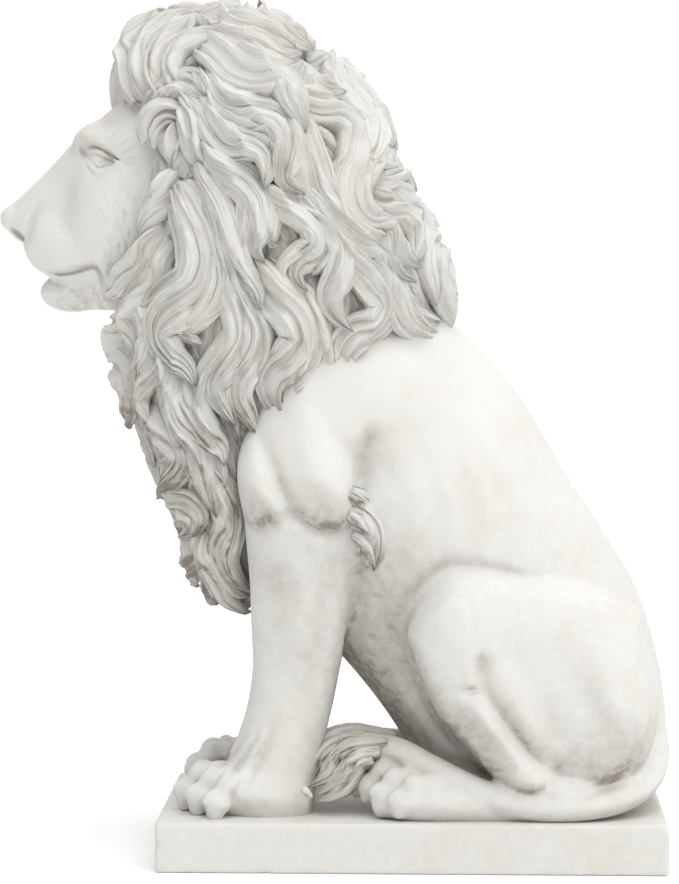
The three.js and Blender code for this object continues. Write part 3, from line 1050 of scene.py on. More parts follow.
    def hind(self, clay: Clay, side: Side) -> None:
        """Model a hind leg from the haunch to the toes.

        Args:
            clay: The clay to add to.
            side: The flank.
        """
        clay.ball((140, 68, 138), (68, 48, 84), 0, side, 12)
        clay.add(limb(self.thigh, side), 8)
        clay.add(limb(self.shank, side), 5)
        clay.add(limb(self.hind_foot, side), 6)
        for at, radii, tilt, blend in (
            ((96, 96, 80), (17, 17, 18), 0, 6),
            ((66, 104, 132), (17, 14, 34), -22, 8),
            ((130, 96, 60), (24, 14, 14), 0, 6),
            ((97, 112, 79), (8, 7, 9), 0, 4),
            ((121, 108, 64), (8, 6, 6), 0, 3),
        ):
            clay.ball(at, radii, tilt, side, blend)
        self.toes(clay, side, self.hind_toes, self.hind_toe_radius)

    def muscles(self, clay: Clay, side: Side) -> None:
        """Carve the muscles, ribs and creases of a flank from the side drawing.

        Args:
            clay: The clay to carve.
            side: The flank.
        """
        limits = (-400.0, -34.0) if side is Side.LEFT else (34.0, 400.0)
        for line, width, depth in (
            (((374, 430), (366, 452), (361, 478), (360, 506)), 6.0, 9.0),
            (((384, 436), (374, 466), (370, 500), (372, 540)), 13, 4.0),
            (((256, 420), (263, 446), (274, 474), (284, 496), (292, 518)), 6.5, 4.6),
            (((276, 484), (285, 500), (291, 514), (296, 520)), 6.0, 2.2),
            (((244, 524), (264, 524), (278, 521), (292, 516)), 7.0, 1.0),
            (((288, 517), (302, 519), (312, 527), (322, 532), (344, 531)), 7.5, 3.4),
            (((316, 408), (330, 434), (343, 460), (352, 490)), 9, 3.6),
            (((252, 470), (262, 492), (272, 508)), 10, -2.6),
            (((300, 440), (318, 470), (328, 500)), 13, -3.2),
            (((296, 380), (312, 410), (330, 430)), 14, -2.0),
            (((266, 560), (272, 610), (276, 660), (272, 712)), 11, 2.6),
            (((332, 560), (328, 610), (318, 660), (308, 705)), 8, 2.4),
            (((300, 545), (303, 600), (300, 660), (290, 710)), 10, -2.0),
            (((264, 735), (250, 760), (233, 786)), 2.8, -3.6),
            (((258, 738), (243, 761), (226, 782)), 2.0, 2.4),
            (((252, 738), (236, 762), (219, 779)), 2.6, -3.4),
            (((246, 742), (230, 763), (212, 776)), 2.0, 2.2),
            (((241, 746), (224, 765), (204, 773)), 2.4, -3.2),
            (((272, 728), (263, 756), (246, 790)), 3.4, 2.0),
            (((284, 740), (278, 770), (272, 800)), 9, -1.6),
            (((398, 448), (412, 480), (416, 520), (406, 560)), 9, -2.2),
            (((428, 446), (446, 480), (452, 520), (442, 560)), 9, -2.2),
            (((458, 446), (480, 480), (488, 520), (478, 556)), 9, -2.2),
            (((490, 456), (512, 486), (522, 520), (514, 552)), 9, -2.0),
            (((484, 654), (482, 668), (482, 680), (485, 692)), 5.0, 7.0),
            (((464, 686), (472, 688), (482, 688)), 2.8, 3.6),
            (((483, 688), (495, 706), (509, 727), (526, 750), (544, 772)), 5.2, 6.5),
            (((466, 694), (482, 712), (500, 736)), 8, -2.6),
            (((490, 640), (501, 666), (519, 700), (541, 740), (560, 770)), 12, -3.8),
            (((552, 640), (570, 674), (590, 710), (606, 744)), 16, 1.2),
            (((580, 640), (606, 680), (622, 730)), 16, -2.4),
            (((430, 650), (436, 690), (452, 722)), 12, -1.6),
            (((397, 656), (399, 634), (410, 609), (427, 586), (448, 571), (474, 568)), 8.0, 5.0),
            (((462, 570), (494, 573), (524, 580), (556, 582)), 6.5, 3.6),
            (((398, 642), (403, 660), (413, 688), (423, 713), (439, 738), (462, 760)), 6.5, 6.0),
            (((362, 556), (361, 590), (356, 622), (349, 652)), 7.0, 7.0),
            (((376, 560), (380, 600), (388, 640), (398, 676)), 20, 5.0),
            (((656, 708), (650, 735), (640, 760), (624, 779), (600, 792), (572, 797), (545, 796)),
             6.0, 3.0),
            (((545, 796), (515, 794), (490, 786), (462, 772)), 5.0, 3.0),
            (((410, 360), (440, 400), (476, 430), (520, 480), (560, 540)), 12, -2.0),
            (((366, 600), (384, 640), (404, 690), (430, 732)), 12, 2.0),
        ):
            flat = DRAWING.at(line, self.muscle_depth)
            clay.stroke(flat, width, depth, Plane.SIDE, limits)
        for outline, rise, edge in (
            (((608, 604), (580, 594), (545, 588), (515, 587), (490, 580), (465, 577), (449, 582),
              (432, 602), (417, 620), (405, 639), (410, 657), (422, 682), (430, 705), (445, 730),
              (465, 752), (500, 790), (560, 830), (620, 812), (646, 770), (652, 725), (644, 682),
              (630, 636)), 6.0, 20.0),
            (((243, 462), (256, 444), (266, 462), (277, 484), (288, 512), (270, 521), (248, 520)),
             2.6, 17.0),
            (((268, 432), (300, 410), (322, 420), (340, 448), (352, 484), (346, 522), (322, 530),
              (298, 514), (284, 484)), 3.6, 18.0),
        ):
            clay.pad(DRAWING.at(outline, self.relief_depth), rise, edge, Plane.SIDE, limits)

    def elbow_tufts(self, clay: Clay) -> None:
        """Carve the curls of hair behind both elbows.

        Args:
            clay: The clay that they lie on.
        """
        for side in Side:
            for line, lift, width, thick in (
                (((348, 494), (358, 505), (371, 515), (380, 529), (382, 545), (379, 560),
                  (373, 573)), 0.0, 31, 7),
                (((349, 512), (358, 518), (367, 526), (371, 538)), 3.5, 15, 5),
                (((352, 534), (360, 536), (368, 543), (372, 554), (375, 570)), 3.0, 17, 5),
                (((366, 568), (371, 560), (369, 550), (362, 546), (358, 552), (361, 558)),
                 3.5, 7.5, 4),
            ):
                flat = even_line(DRAWING.at(line, self.relief_depth), 4.0)
                out = [max(clay.outermost(x, z, side), 84.0) + lift for x, z in flat]
                out = np.convolve(np.pad(out, 2, mode="edge"), np.ones(5) / 5, mode="valid")
                points = [(x, y, z) for (x, z), y in zip(flat, out)]
                self.carver.free(points, (0.1, 1, 0.15), width, thick, side, bury=12)

    def model(self) -> Shell:
        """Model the whole body.

        Returns:
            The closed shell of the body, its underside let into the plinth.
        """
        clay = Clay((-205, -132, 34), (236, 132, 520), self.grain, fade=26.0)
        clay.add(form(self.trunk), 0)
        for side in Side:
            self.fore(clay, side)
            self.hind(clay, side)
            self.muscles(clay, side)
        thick = self.tail_thickness / 2
        clay.add(cord(self.tail, (thick * 1.3, thick * 1.1, thick, thick, thick * 0.9)), 4)
        crease = DRAWING.at(((560, 800), (600, 796), (640, 776), (660, 740)), -100.0)
        clay.stroke(crease, 2.2, 1.4, Plane.SIDE, (-132.0, -80.0))
        clay.stroke([(40, 0), (100, 0), (180, 0)], 8, 2.5, Plane.TOP, (60.0, 500.0))
        _, _, z = clay.axes(clay.window(np.array([-400.0] * 3), np.array([900.0] * 3)))
        np.maximum(clay.field, self.plinth_top - 4 - z, out=clay.field)
        clay.wipe()
        clay.wipe()
        self.elbow_tufts(clay)
        return clay.surface()

    def build(self) -> list[bpy.types.Object]:
        """Make the pieces of the body and of the elbows' curls."""
        body = make_piece("lion_body", self.model(), self.most_triangles)
        return [body, make_piece("elbow_tufts", self.carver.gathered())]


# The head

@dataclass
class Head:
    """The head with its face, modelled on a finer grain than the body.

    Attributes:
        grain: The distance between two points of the clay's grid.
        profile: Sections of top x, top z, bottom x, bottom z and half-width, from the neck on.
        bridge: Stations of x, y, z, half-depth and half-width along the nose, from the brow down.
        eye_depth: The y that the eye is drawn at.
        line_depth: The y that the lines of the face are drawn at.
        most_triangles: The most triangles of its piece.
    """

    grain: float = 1.15
    profile: Table = (
        (-180, 676, -180, 474, 60), (-206, 672, -206, 468, 66), (-232, 656, -232, 464, 68),
        (-256, 636, -254, 464, 63), (-277, 618, -274, 466, 53), (-296, 598, -292, 476, 42),
        (-314, 580, -308, 490, 34), (-330, 564, -322, 506, 28), (-343, 550, -334, 522, 20),
    )
    bridge: Table = (
        (-262, 0, 606, 18, 27), (-281, 0, 592, 15, 22), (-299, 0, 573, 13, 19),
        (-317, 0, 557, 12, 17), (-332, 0, 545, 12, 17), (-341, 0, 539, 10, 15),
    )
    eye_depth: float = -48.0
    line_depth: float = -40.0
    most_triangles: int = 120000

    def face_side(self, clay: Clay, side: Side) -> None:
        """Model one half of the face.

        Args:
            clay: The clay to add to.
            side: The half.
        """
        for at, radii, tilt, blend in (
            ((-301, 18, 520), (31, 24, 29), 6, 7),
            ((-286, 28, 516), (30, 22, 24), 0, 8),
            ((-250, 42, 546), (38, 25, 44), 0, 12),
            ((-230, 44, 598), (30, 20, 24), 0, 10),
            ((-276, 22, 610), (15, 13, 9), -38, 7),
            ((-258, 38, 609), (22, 12, 7), 4, 7),
        ):
            clay.ball(at, radii, tilt, side, blend)
        x, z = DRAWING.at(((99, 159),), self.eye_depth)[0]
        out = clay.outermost(x, z, side)
        clay.hollow((x - 13, out, z + 3), (7, 6, 6), -20, side, 4)
        clay.hollow((x + 2, out + 4, z + 1), (15, 7, 7), 12, side, 5)
        clay.ball((x + 1, out - 12.0, z - 0.5), (12, 11, 8), 0, side, 0.8)
        for line, radii in (
            (((84, 154), (89, 151), (97, 151), (106, 154.5), (115, 159), (125, 162)),
             (1.4, 2.8, 3.4, 3.0, 2.3, 1.0)),
            (((87, 158), (92, 164.5), (99, 167.5), (108, 166), (117, 161.5)),
             (1.0, 1.9, 2.2, 1.9, 1.0)),
        ):
            flat = even_line(DRAWING.at(line, self.eye_depth), 3.0)
            points = [(px, side.value * (clay.outermost(px, pz, side) - 0.4), pz)
                      for px, pz in flat]
            clay.add(cord(points, radii, 1.0, 10), 1.2)
        clay.ball((-345, 9, 541), (8, 8, 9), 0, side, 4)

    def face_lines(self, clay: Clay, side: Side) -> None:
        """Cut the lids, the mouth, the nostril, the whisker dots and the creases of one half.

        Args:
            clay: The clay to cut.
            side: The half.
        """
        limits = (-80.0, -6.0) if side is Side.LEFT else (6.0, 80.0)
        outer = (-80.0, -22.0) if side is Side.LEFT else (22.0, 80.0)
        front = (-60.0, -3.0) if side is Side.LEFT else (3.0, 60.0)
        for line, width, depth, reach in (
            (((86, 150), (92, 147), (100, 149), (108, 153), (118, 159), (126, 161)), 1.3, 2.6, outer),
            (((88, 157), (93, 164), (100, 168), (108, 166), (115, 161)), 1.2, 1.8, outer),
            (((86, 146), (94, 141), (104, 144), (114, 150)), 1.6, -1.2, outer),
            (((88, 172), (98, 177), (110, 172), (118, 165)), 1.6, 1.4, outer),
            (((84, 162), (90, 170), (98, 176)), 1.4, 1.6, outer),
            (((86, 158), (93, 156), (101, 157), (110, 160.5), (119, 163)), 1.1, 1.8, outer),
            (((122, 163), (134, 165), (144, 162)), 1.1, 1.4, outer),
            (((124, 158), (136, 151), (144, 142)), 1.1, 1.2, outer),
            (((114, 152), (124, 147), (134, 138)), 1.1, 1.4, outer),
            (((117, 156), (128, 153), (140, 145)), 1.1, 1.4, outer),
            (((120, 161), (131, 160), (142, 156)), 1.1, 1.2, outer),
            (((110, 148), (119, 141), (127, 131)), 1.1, 1.0, outer),
            (((106, 144), (113, 136), (119, 126)), 1.1, 0.9, outer),
            (((42, 270), (52, 273), (64, 273), (76, 271), (88, 267), (96, 267), (101, 276),
              (103, 288)), 1.9, 4.6, limits),
            (((48, 265), (62, 267), (76, 264), (90, 260), (102, 263), (107, 274)), 2.6, -1.8, limits),
            (((80, 147), (82, 153), (87, 157)), 3.0, 3.2, outer),
            (((96, 262), (108, 250), (118, 240)), 7.0, -1.6, outer),
            (((104, 290), (112, 276), (118, 262)), 5.0, 1.8, outer),
            (((6, 228), (12, 233), (20, 240)), 1.9, 6.0, front),
            (((38, 201), (30, 209), (25, 220), (22, 232), (22, 242)), 1.6, 1.2, front),
            (((26, 246), (28, 230), (32, 214), (39, 202)), 4.0, 2.2, limits),
            (((60, 190), (76, 204), (92, 226), (100, 248)), 12.0, 1.6, limits),
            (((36, 170), (50, 186), (62, 200)), 10.0, 1.0, limits),
            (((40, 296), (52, 304), (66, 308), (82, 304)), 2.0, 0.6, limits),
        ):
            clay.stroke(DRAWING.at(line, self.line_depth), width, depth, Plane.SIDE, reach)
        for u, v in ((60, 226), (69, 227), (79, 230), (90, 234), (64, 234), (74, 237), (85, 240),
                     (96, 243), (66, 243), (78, 246), (88, 249)):
            spot = DRAWING.at([(u - 0.8, v), (u, v + 0.2), (u + 0.8, v)], self.line_depth)
            clay.stroke(spot, 1.1, 0.8, Plane.SIDE, limits, taper=False)
        chance = np.random.default_rng(41)
        for _ in range(95):
            u, v = chance.uniform(98, 142), chance.uniform(168, 262)
            lean = chance.uniform(-3, 3)
            hair = ((u, v), (u + 4, v + 6 + lean), (u + 5 + lean, v + 14))
            clay.stroke(DRAWING.at(hair, -55.0), 1.1, 0.8, Plane.SIDE, outer)
        for _ in range(90):
            u, v = chance.uniform(46, 98), chance.uniform(280, 308)
            curl = chance.uniform(-4, 4)
            hair = ((u, v), (u + 3, v + 3 + curl), (u + 7, v + 2), (u + 9, v + 5))
            clay.stroke(DRAWING.at(hair, -30.0), 1.1, 0.8, Plane.SIDE, limits)

    def model(self) -> Shell:
        """Model the whole head.

        Returns:
            Its shell.
        """
        clay = Clay((-362, -84, 452), (-176, 84, 690), self.grain)
        clay.add(form(self.profile), 0)
        clay.add(limb(self.bridge), 8)
        clay.ball((-338, 0, 540), (14, 17, 13), blend=5)
        clay.ball((-333, 0, 531), (13, 14, 11), 30, blend=4)
        clay.ball((-293, 0, 478), (27, 26, 17), blend=6)
        clay.ball((-262, 0, 488), (34, 34, 22), blend=10)
        for side in Side:
            self.face_side(clay, side)
            self.face_lines(clay, side)
        clay.stroke([(-1, 522), (0, 508), (0, 496)], 2.2, 4.0, Plane.FRONT, (-362.0, -318.0))
        clay.stroke([(0, 560), (0, 548), (0, 536)], 2.4, 1.2, Plane.FRONT, (-362.0, -330.0))
        return clay.surface()

    def build(self) -> bpy.types.Object:
        """Make the head's piece."""
        return make_piece("lion_head", self.model(), self.most_triangles)


# The mane

@dataclass
class Mane:
    """The mane: an undercoat of small locks over the ground, and the drawn locks on top.

    Attributes:
        drawn: The locks of a flank, from the crown down.
        undercoat_width: The width of one of the undercoat's locks.
        undercoat_rows: The lowest and highest of its rows, and the distance between two.
        undercoat_step: How far a lock of it runs on at each step.
        most_undercoat: The most triangles of a flank's undercoat.
    """

    drawn: tuple[Lock, ...] = (
        # over the forehead and the crown
        Lock(((128, 102), (122, 80), (120, 58), (129, 40), (148, 27), (172, 22)), 19, 1.3),
        Lock(((140, 98), (133, 72), (138, 50), (156, 36), (180, 31), (202, 34)), 20, 1.3),
        Lock(((152, 96), (146, 72), (156, 52), (176, 40), (198, 34), (214, 44)), 18, 1.2),
        Lock(((168, 96), (160, 76), (172, 56), (194, 48), (216, 46), (236, 44)), 20, 1.5),
        Lock(((150, 26), (172, 12), (196, 8), (212, 4), (220, 14)), 16, 1.6),
        Lock(((196, 16), (222, 14), (250, 18), (276, 24), (298, 38), (312, 54)), 24, 1.2),
        Lock(((190, 30), (216, 28), (246, 32), (276, 40), (300, 54), (318, 66)), 24, 1.4),
        Lock(((214, 44), (240, 46), (266, 56), (288, 66), (306, 68)), 22, 1.2),
        # the long sweeps behind the ear
        Lock(((200, 46), (222, 60), (246, 76), (270, 83), (288, 90), (297, 112), (306, 140)), 30, 1.7),
        Lock(((196, 74), (208, 98), (224, 114), (246, 118), (268, 118), (286, 128), (292, 146),
              (288, 166), (286, 184), (305, 199)), 29, 1.9, 1.1, 0.12),
        Lock(((200, 110), (212, 130), (228, 144), (250, 146), (266, 156), (269, 174), (265, 191)),
             23, 1.5, 1.2, 0.15),
        Lock(((196, 150), (206, 164), (222, 174), (243, 185), (256, 205), (258, 230), (254, 250),
              (265, 262)), 24, 1.5, 1.2),
        Lock(((192, 168), (202, 186), (214, 204), (222, 224), (230, 246), (238, 266), (250, 281),
              (258, 292), (261, 307)), 22, 1.3, 1.2),
        Lock(((270, 84), (292, 74), (310, 78), (318, 94), (328, 102), (347, 104)), 20, 1.3, 1.2),
        Lock(((292, 96), (318, 108), (345, 117), (361, 138), (360, 165), (354, 190), (358, 212),
              (372, 225), (390, 227), (398, 244), (404, 262), (420, 272)), 26, 1.5),
        Lock(((294, 108), (304, 140), (312, 170), (322, 198), (344, 222), (366, 240), (382, 250),
              (392, 266), (402, 278), (416, 283)), 28, 1.2),
        Lock(((318, 62), (338, 72), (358, 94), (374, 116), (386, 138), (398, 156)), 24, 1.2),
        Lock(((340, 74), (362, 104), (378, 132), (382, 156), (372, 180), (366, 202)), 24, 1.5, 1.3),
        Lock(((352, 160), (370, 176), (388, 180), (402, 178), (411, 188), (421, 198)), 20, 1.2, 1.2),
        Lock(((372, 196), (384, 205), (404, 212), (418, 232), (421, 252), (415, 267)), 22, 1.3),
        Lock(((400, 190), (415, 206), (430, 226), (437, 250), (439, 275), (446, 300), (453, 334)),
             22, 1.2),
        Lock(((144, 106), (157, 94), (171, 88), (188, 92), (203, 104)), 26, 1.0),
        # beside the face
        Lock(((168, 178), (162, 192), (151, 206), (144, 222), (141, 236)), 20, 1.2, 1.2),
        Lock(((176, 186), (190, 210), (202, 238), (206, 264), (196, 288), (172, 303), (159, 318),
              (159, 338), (171, 355), (186, 367), (196, 383)), 40, 1.9, 1.0, 0.1),
        Lock(((152, 226), (141, 242), (131, 262), (115, 284), (106, 304)), 20, 0.9),
        Lock(((160, 240), (152, 262), (146, 284), (126, 300), (120, 318), (131, 338), (136, 350)),
             20, 1.1, 1.1),
        # the middle tier
        Lock(((262, 182), (276, 200), (300, 212), (322, 232), (321, 254), (303, 264), (297, 276),
              (308, 290)), 22, 1.5, 1.2),
        Lock(((300, 186), (316, 204), (336, 226), (348, 250), (342, 274), (332, 294), (338, 311),
              (354, 326)), 24, 1.3, 1.2),
        Lock(((336, 232), (356, 258), (378, 281), (390, 302), (380, 321), (358, 331), (345, 347),
              (351, 362), (371, 375)), 26, 1.5, 1.1),
        Lock(((372, 246), (392, 270), (401, 298), (414, 318), (433, 326), (452, 338)), 22, 1.2),
        Lock(((222, 262), (226, 286), (240, 310), (243, 335), (232, 356), (218, 373), (213, 387),
              (222, 403), (236, 419)), 26, 1.4, 1.1),
        Lock(((232, 270), (244, 296), (260, 324), (256, 352), (241, 374), (240, 394), (251, 412),
              (258, 431)), 24, 1.2, 1.1),
        Lock(((254, 264), (272, 286), (298, 310), (306, 336), (292, 356), (275, 371), (272, 389),
              (282, 410)), 32, 1.6, 1.1, 0.1),
        Lock(((304, 286), (318, 306), (330, 330), (328, 352), (334, 372), (344, 384)), 22, 0.6),
        # the bib
        Lock(((128, 296), (138, 318), (150, 336), (149, 357), (140, 376), (139, 397), (151, 419)),
             24, 1.3, 1.1),
        Lock(((160, 344), (168, 368), (168, 396), (178, 420), (194, 440), (202, 462)), 24, 1.2),
        Lock(((184, 372), (190, 392), (194, 412), (206, 430), (221, 444), (223, 459)), 22, 1.4, 1.2),
        Lock(((112, 312), (104, 330), (108, 352), (120, 372), (124, 396), (128, 424)), 20, 0.9),
        Lock(((140, 404), (152, 424), (166, 440), (175, 456), (166, 475), (160, 492)), 22, 1.1, 1.1),
        Lock(((190, 430), (202, 446), (207, 466), (212, 489), (217, 511)), 22, 1.1, 1.1),
        Lock(((158, 478), (170, 496), (186, 502), (198, 512), (198, 530)), 20, 1.0, 1.1),
        Lock(((214, 470), (224, 494), (231, 518), (224, 543), (229, 565), (248, 587)), 22, 1.3, 1.1),
        Lock(((178, 510), (184, 532), (196, 548), (190, 564), (198, 580)), 20, 1.1, 1.1),
        Lock(((196, 530), (203, 556), (224, 588), (243, 604), (248, 619)), 22, 1.2, 1.1),
    )
    undercoat_width: float = 19.0
    undercoat_rows: tuple[float, float, float] = (232, 700, 16.0)
    undercoat_step: float = 5.5
    most_undercoat: int = 110000

    def undercoat(self, carver: Carver, side: Side, flow: Sequence[np.ndarray]) -> None:
        """Cover the ground of a flank with small locks that run with the drawn ones.

        Args:
            carver: The carver that gathers the locks.
            side: The flank.
            flow: The lines of the drawn locks.
        """
        chance = carver.chance
        spots = np.vstack([line[:-1] for line in flow])
        ways = unit(np.vstack([np.diff(line, axis=0) for line in flow]))
        starts, lengths = [], []
        for top in np.arange(*self.undercoat_rows):
            front, back, half, _ = (value[0] for value in GROUND.section(np.array([top])))
            girth = math.pi * math.hypot((back - front) / 2, half) / math.sqrt(2)
            count = max(3, round(girth / (self.undercoat_width * 0.75)))
            for i in range(count):
                angle = 180 * (i + 0.5 + chance.uniform(-0.3, 0.3)) / count
                # the crest covers the front of the crown
                if top < 640 or angle < 140:
                    starts.append(GROUND.turned(np.array([angle]), np.array([top]), side)[0])
                    lengths.append(round(chance.uniform(9, 13)))
        lines = [np.array(starts)]
        for _ in range(13):
            here = lines[-1]
            away = ((here[:, None] - spots[None]) ** 2).sum(-1)
            weight = 1 / (away + 60.0) ** 2
            way = unit(weight @ ways / weight.sum(1, keepdims=True) + np.array([0, 0, -0.12]))
            out = GROUND.normals(here)
            way = unit(way - out * np.sum(way * out, axis=1, keepdims=True))
            ahead = here + way * self.undercoat_step
            ahead[:, 2] = np.clip(ahead[:, 2], 213, 702)
            middle = GROUND.middle(ahead)
            lines.append(middle + (ahead - middle) / GROUND.rise(ahead)[:, None])
        lines = np.array(lines)
        for i, length in enumerate(lengths):
            path = even_line(lines[:length, i], 4.8)
            normals = GROUND.normals(path)
            lift = np.linspace(-5, 0.5, len(path))
            width = self.undercoat_width * chance.uniform(1.0, 1.6)
            carver.ribbon(path + normals * lift[:, None], normals, width, 6.0, bury=14)

    def ear(self, carver: Carver, side: Side) -> None:
        """Carve an ear: its rim, the strands inside it and the tuft that hangs from it.

        Args:
            carver: The carver that gathers them.
            side: The flank.
        """
        for line, out, width, thick in (
            (((144, 142), (142, 126), (148, 112), (161, 104), (175, 106), (184, 116)), 92, 14, 7),
            (((149, 144), (148, 130), (155, 118), (166, 112), (177, 116), (184, 126)), 90, 13, 5),
            (((155, 146), (154, 134), (161, 124), (171, 120), (180, 126)), 87, 12, 5),
            (((160, 148), (161, 138), (168, 130), (177, 131)), 84, 11, 5),
            (((180, 100), (189, 114), (193, 132), (194, 150), (200, 162), (210, 170)), 97, 28, 9),
            (((176, 126), (169, 138), (167, 152), (173, 166)), 89, 22, 10),
            (((182, 140), (178, 154), (174, 168), (180, 184)), 87, 15, 7),
            (((168, 160), (166, 176), (172, 190), (168, 202)), 86, 14, 6),
        ):
            flat = DRAWING.at(line, -out)
            rise = np.interp(np.linspace(0, 1, len(flat)), [0, 0.3, 0.8, 1], [-8, 0, 0, -5])
            points = [(x, out + up, z) for (x, z), up in zip(flat, rise)]
            carver.free(points, (-0.25, 1, 0.1), width, thick, side, bury=16)

    def crest(self, carver: Carver) -> None:
        """Carve the locks that rise from the forehead and fall back over the crown.

        Args:
            carver: The carver that gathers them.
        """
        for y in (-40, -27, -13, 0, 13, 27, 40):
            drop = abs(y) * 0.26 + 9
            back = abs(y) * 0.55
            sway = carver.chance.uniform(-3, 3)
            points = [(-247 + back, y, 628 - drop), (-256 + back, y + sway, 652 - drop),
                      (-252 + back, y, 681 - drop), (-234 + back, y - sway, 702 - drop),
                      (-206, y * 0.95, 714 - drop), (-172, y * 0.9, 712 - drop),
                      (-140, y * 0.85, 700 - drop), (-118, y * 0.8, 684 - drop)]
            path = even_line(points, 3.0)
            normals = unit(path - np.array([-190.0, 0.0, 640.0]))
            carver.ribbon(path - normals * 4, normals, 21, 9, bury=14)

    def mid_line(self, carver: Carver) -> None:
        """Carve locks down the middle of the back and of the bib, between the two flanks.

        Args:
            carver: The carver that gathers them.
        """
        chance = carver.chance
        for tops, turns, sway, bend, drop, fall, away, step, lift, width, thick, bury in (
            ((676, 380, -34.0), (-14, 8), 3, 9, 10, 86, 0, 3.4, (0, 9), 26, 9, 14),
            ((470, 260, -30.0), (-16, 4), 4, 11, 0, 78, 180, 3.2, (-1, 8), 22, 8, 12),
        ):
            for top in np.arange(*tops):
                for turn in turns:
                    share = np.linspace(0, 1, 8)
                    angle = turn + chance.uniform(-sway, sway) + bend * np.sin(share * 5 + top)
                    z = np.clip(top + drop - fall * share, 213, 700)
                    points = GROUND.turned(np.abs(away - np.abs(angle)), z, Side.LEFT)
                    points[:, 1] *= np.where(angle < 0, -1, 1)
                    path = even_line(points, step)
                    normals = GROUND.normals(path)
                    rise = np.linspace(*lift, len(path))
                    carver.ribbon(path + normals * rise[:, None], normals, width, thick, bury=bury)

    def core(self) -> Shell:
        """Model the closed form under the undercoat.

        Returns:
            Its shell, a little inside the ground.
        """
        z = np.linspace(213, 703, 60)
        angle = np.linspace(0, 180, 40)
        rings = []
        for height in z:
            flank = GROUND.turned(angle, np.full(len(angle), height), Side.LEFT)
            other = GROUND.turned(angle[::-1][1:-1], np.full(len(angle) - 2, height), Side.RIGHT)
            rings.append(np.vstack([flank, other]))
        rings = np.array(rings)
        middle = rings.mean(axis=1, keepdims=True)
        shell = skin(middle + (rings - middle) * 0.97)
        shell.groove = np.ones(len(shell.points))
        shell.hair = np.zeros((len(shell.points), 3))
        return shell

    def build(self) -> list[bpy.types.Object]:
        """Make the mane.

        Returns:
            Its core, the undercoat and the drawn locks of both flanks, and the middle line.
        """
        pieces = [make_piece("mane_core", self.core())]
        for side, name in ((Side.LEFT, "left"), (Side.RIGHT, "right")):
            over = Carver(23 + side.value)
            for lock in self.drawn:
                over.lay(lock, side)
            under = Carver(7 + side.value, 3.4, 0.8, wash=0.25)
            self.undercoat(under, side, over.flow)
            self.ear(over, side)
            undercoat = make_piece(f"mane_undercoat_{name}", under.gathered(), self.most_undercoat)
            pieces.append(undercoat)
            pieces.append(make_piece(f"mane_locks_{name}", over.gathered()))
        middle = Carver(31)
        self.crest(middle)
        self.mid_line(middle)
        pieces.append(make_piece("mane_middle", middle.gathered()))
        return pieces


@dataclass
class Tuft:
    """The tuft at the tail's end.

    Attributes:
        strands: Each lock's drawn line, the y that it lies at, and its width.
        thick: How far a lock stands up.
    """

    strands: tuple[tuple[tuple[tuple[float, float], ...], float, float], ...] = (
        (((396, 742), (372, 738), (346, 736), (326, 742), (314, 756), (308, 774), (304, 792)),
         -62, 20),
        (((392, 746), (362, 741), (336, 744), (320, 756), (313, 772), (308, 788)), -70, 22),
        (((390, 750), (364, 746), (342, 752), (330, 764), (325, 778), (312, 792)), -78, 22),
        (((388, 744), (366, 744), (350, 748), (338, 757), (334, 770), (324, 781), (308, 792)),
         -86, 18),
        (((380, 752), (362, 754), (348, 762), (342, 774), (332, 788), (316, 800)), -90, 17),
        (((372, 760), (358, 766), (352, 778), (344, 790), (330, 800), (318, 806)), -92, 14),
    )
    thick: float = 7.5

    def build(self) -> bpy.types.Object:
        """Make the tuft's piece."""
        carver = Carver(57, 3.2, 1.3)
        for line, depth, width in self.strands:
            flat = DRAWING.at(line, depth)
            points = [(x, -depth, z) for x, z in flat]
            carver.free(points, (-0.2, 0.8, 0.6), width, self.thick, Side.LEFT, bury=9)
        return make_piece("tail_tuft", carver.gathered())


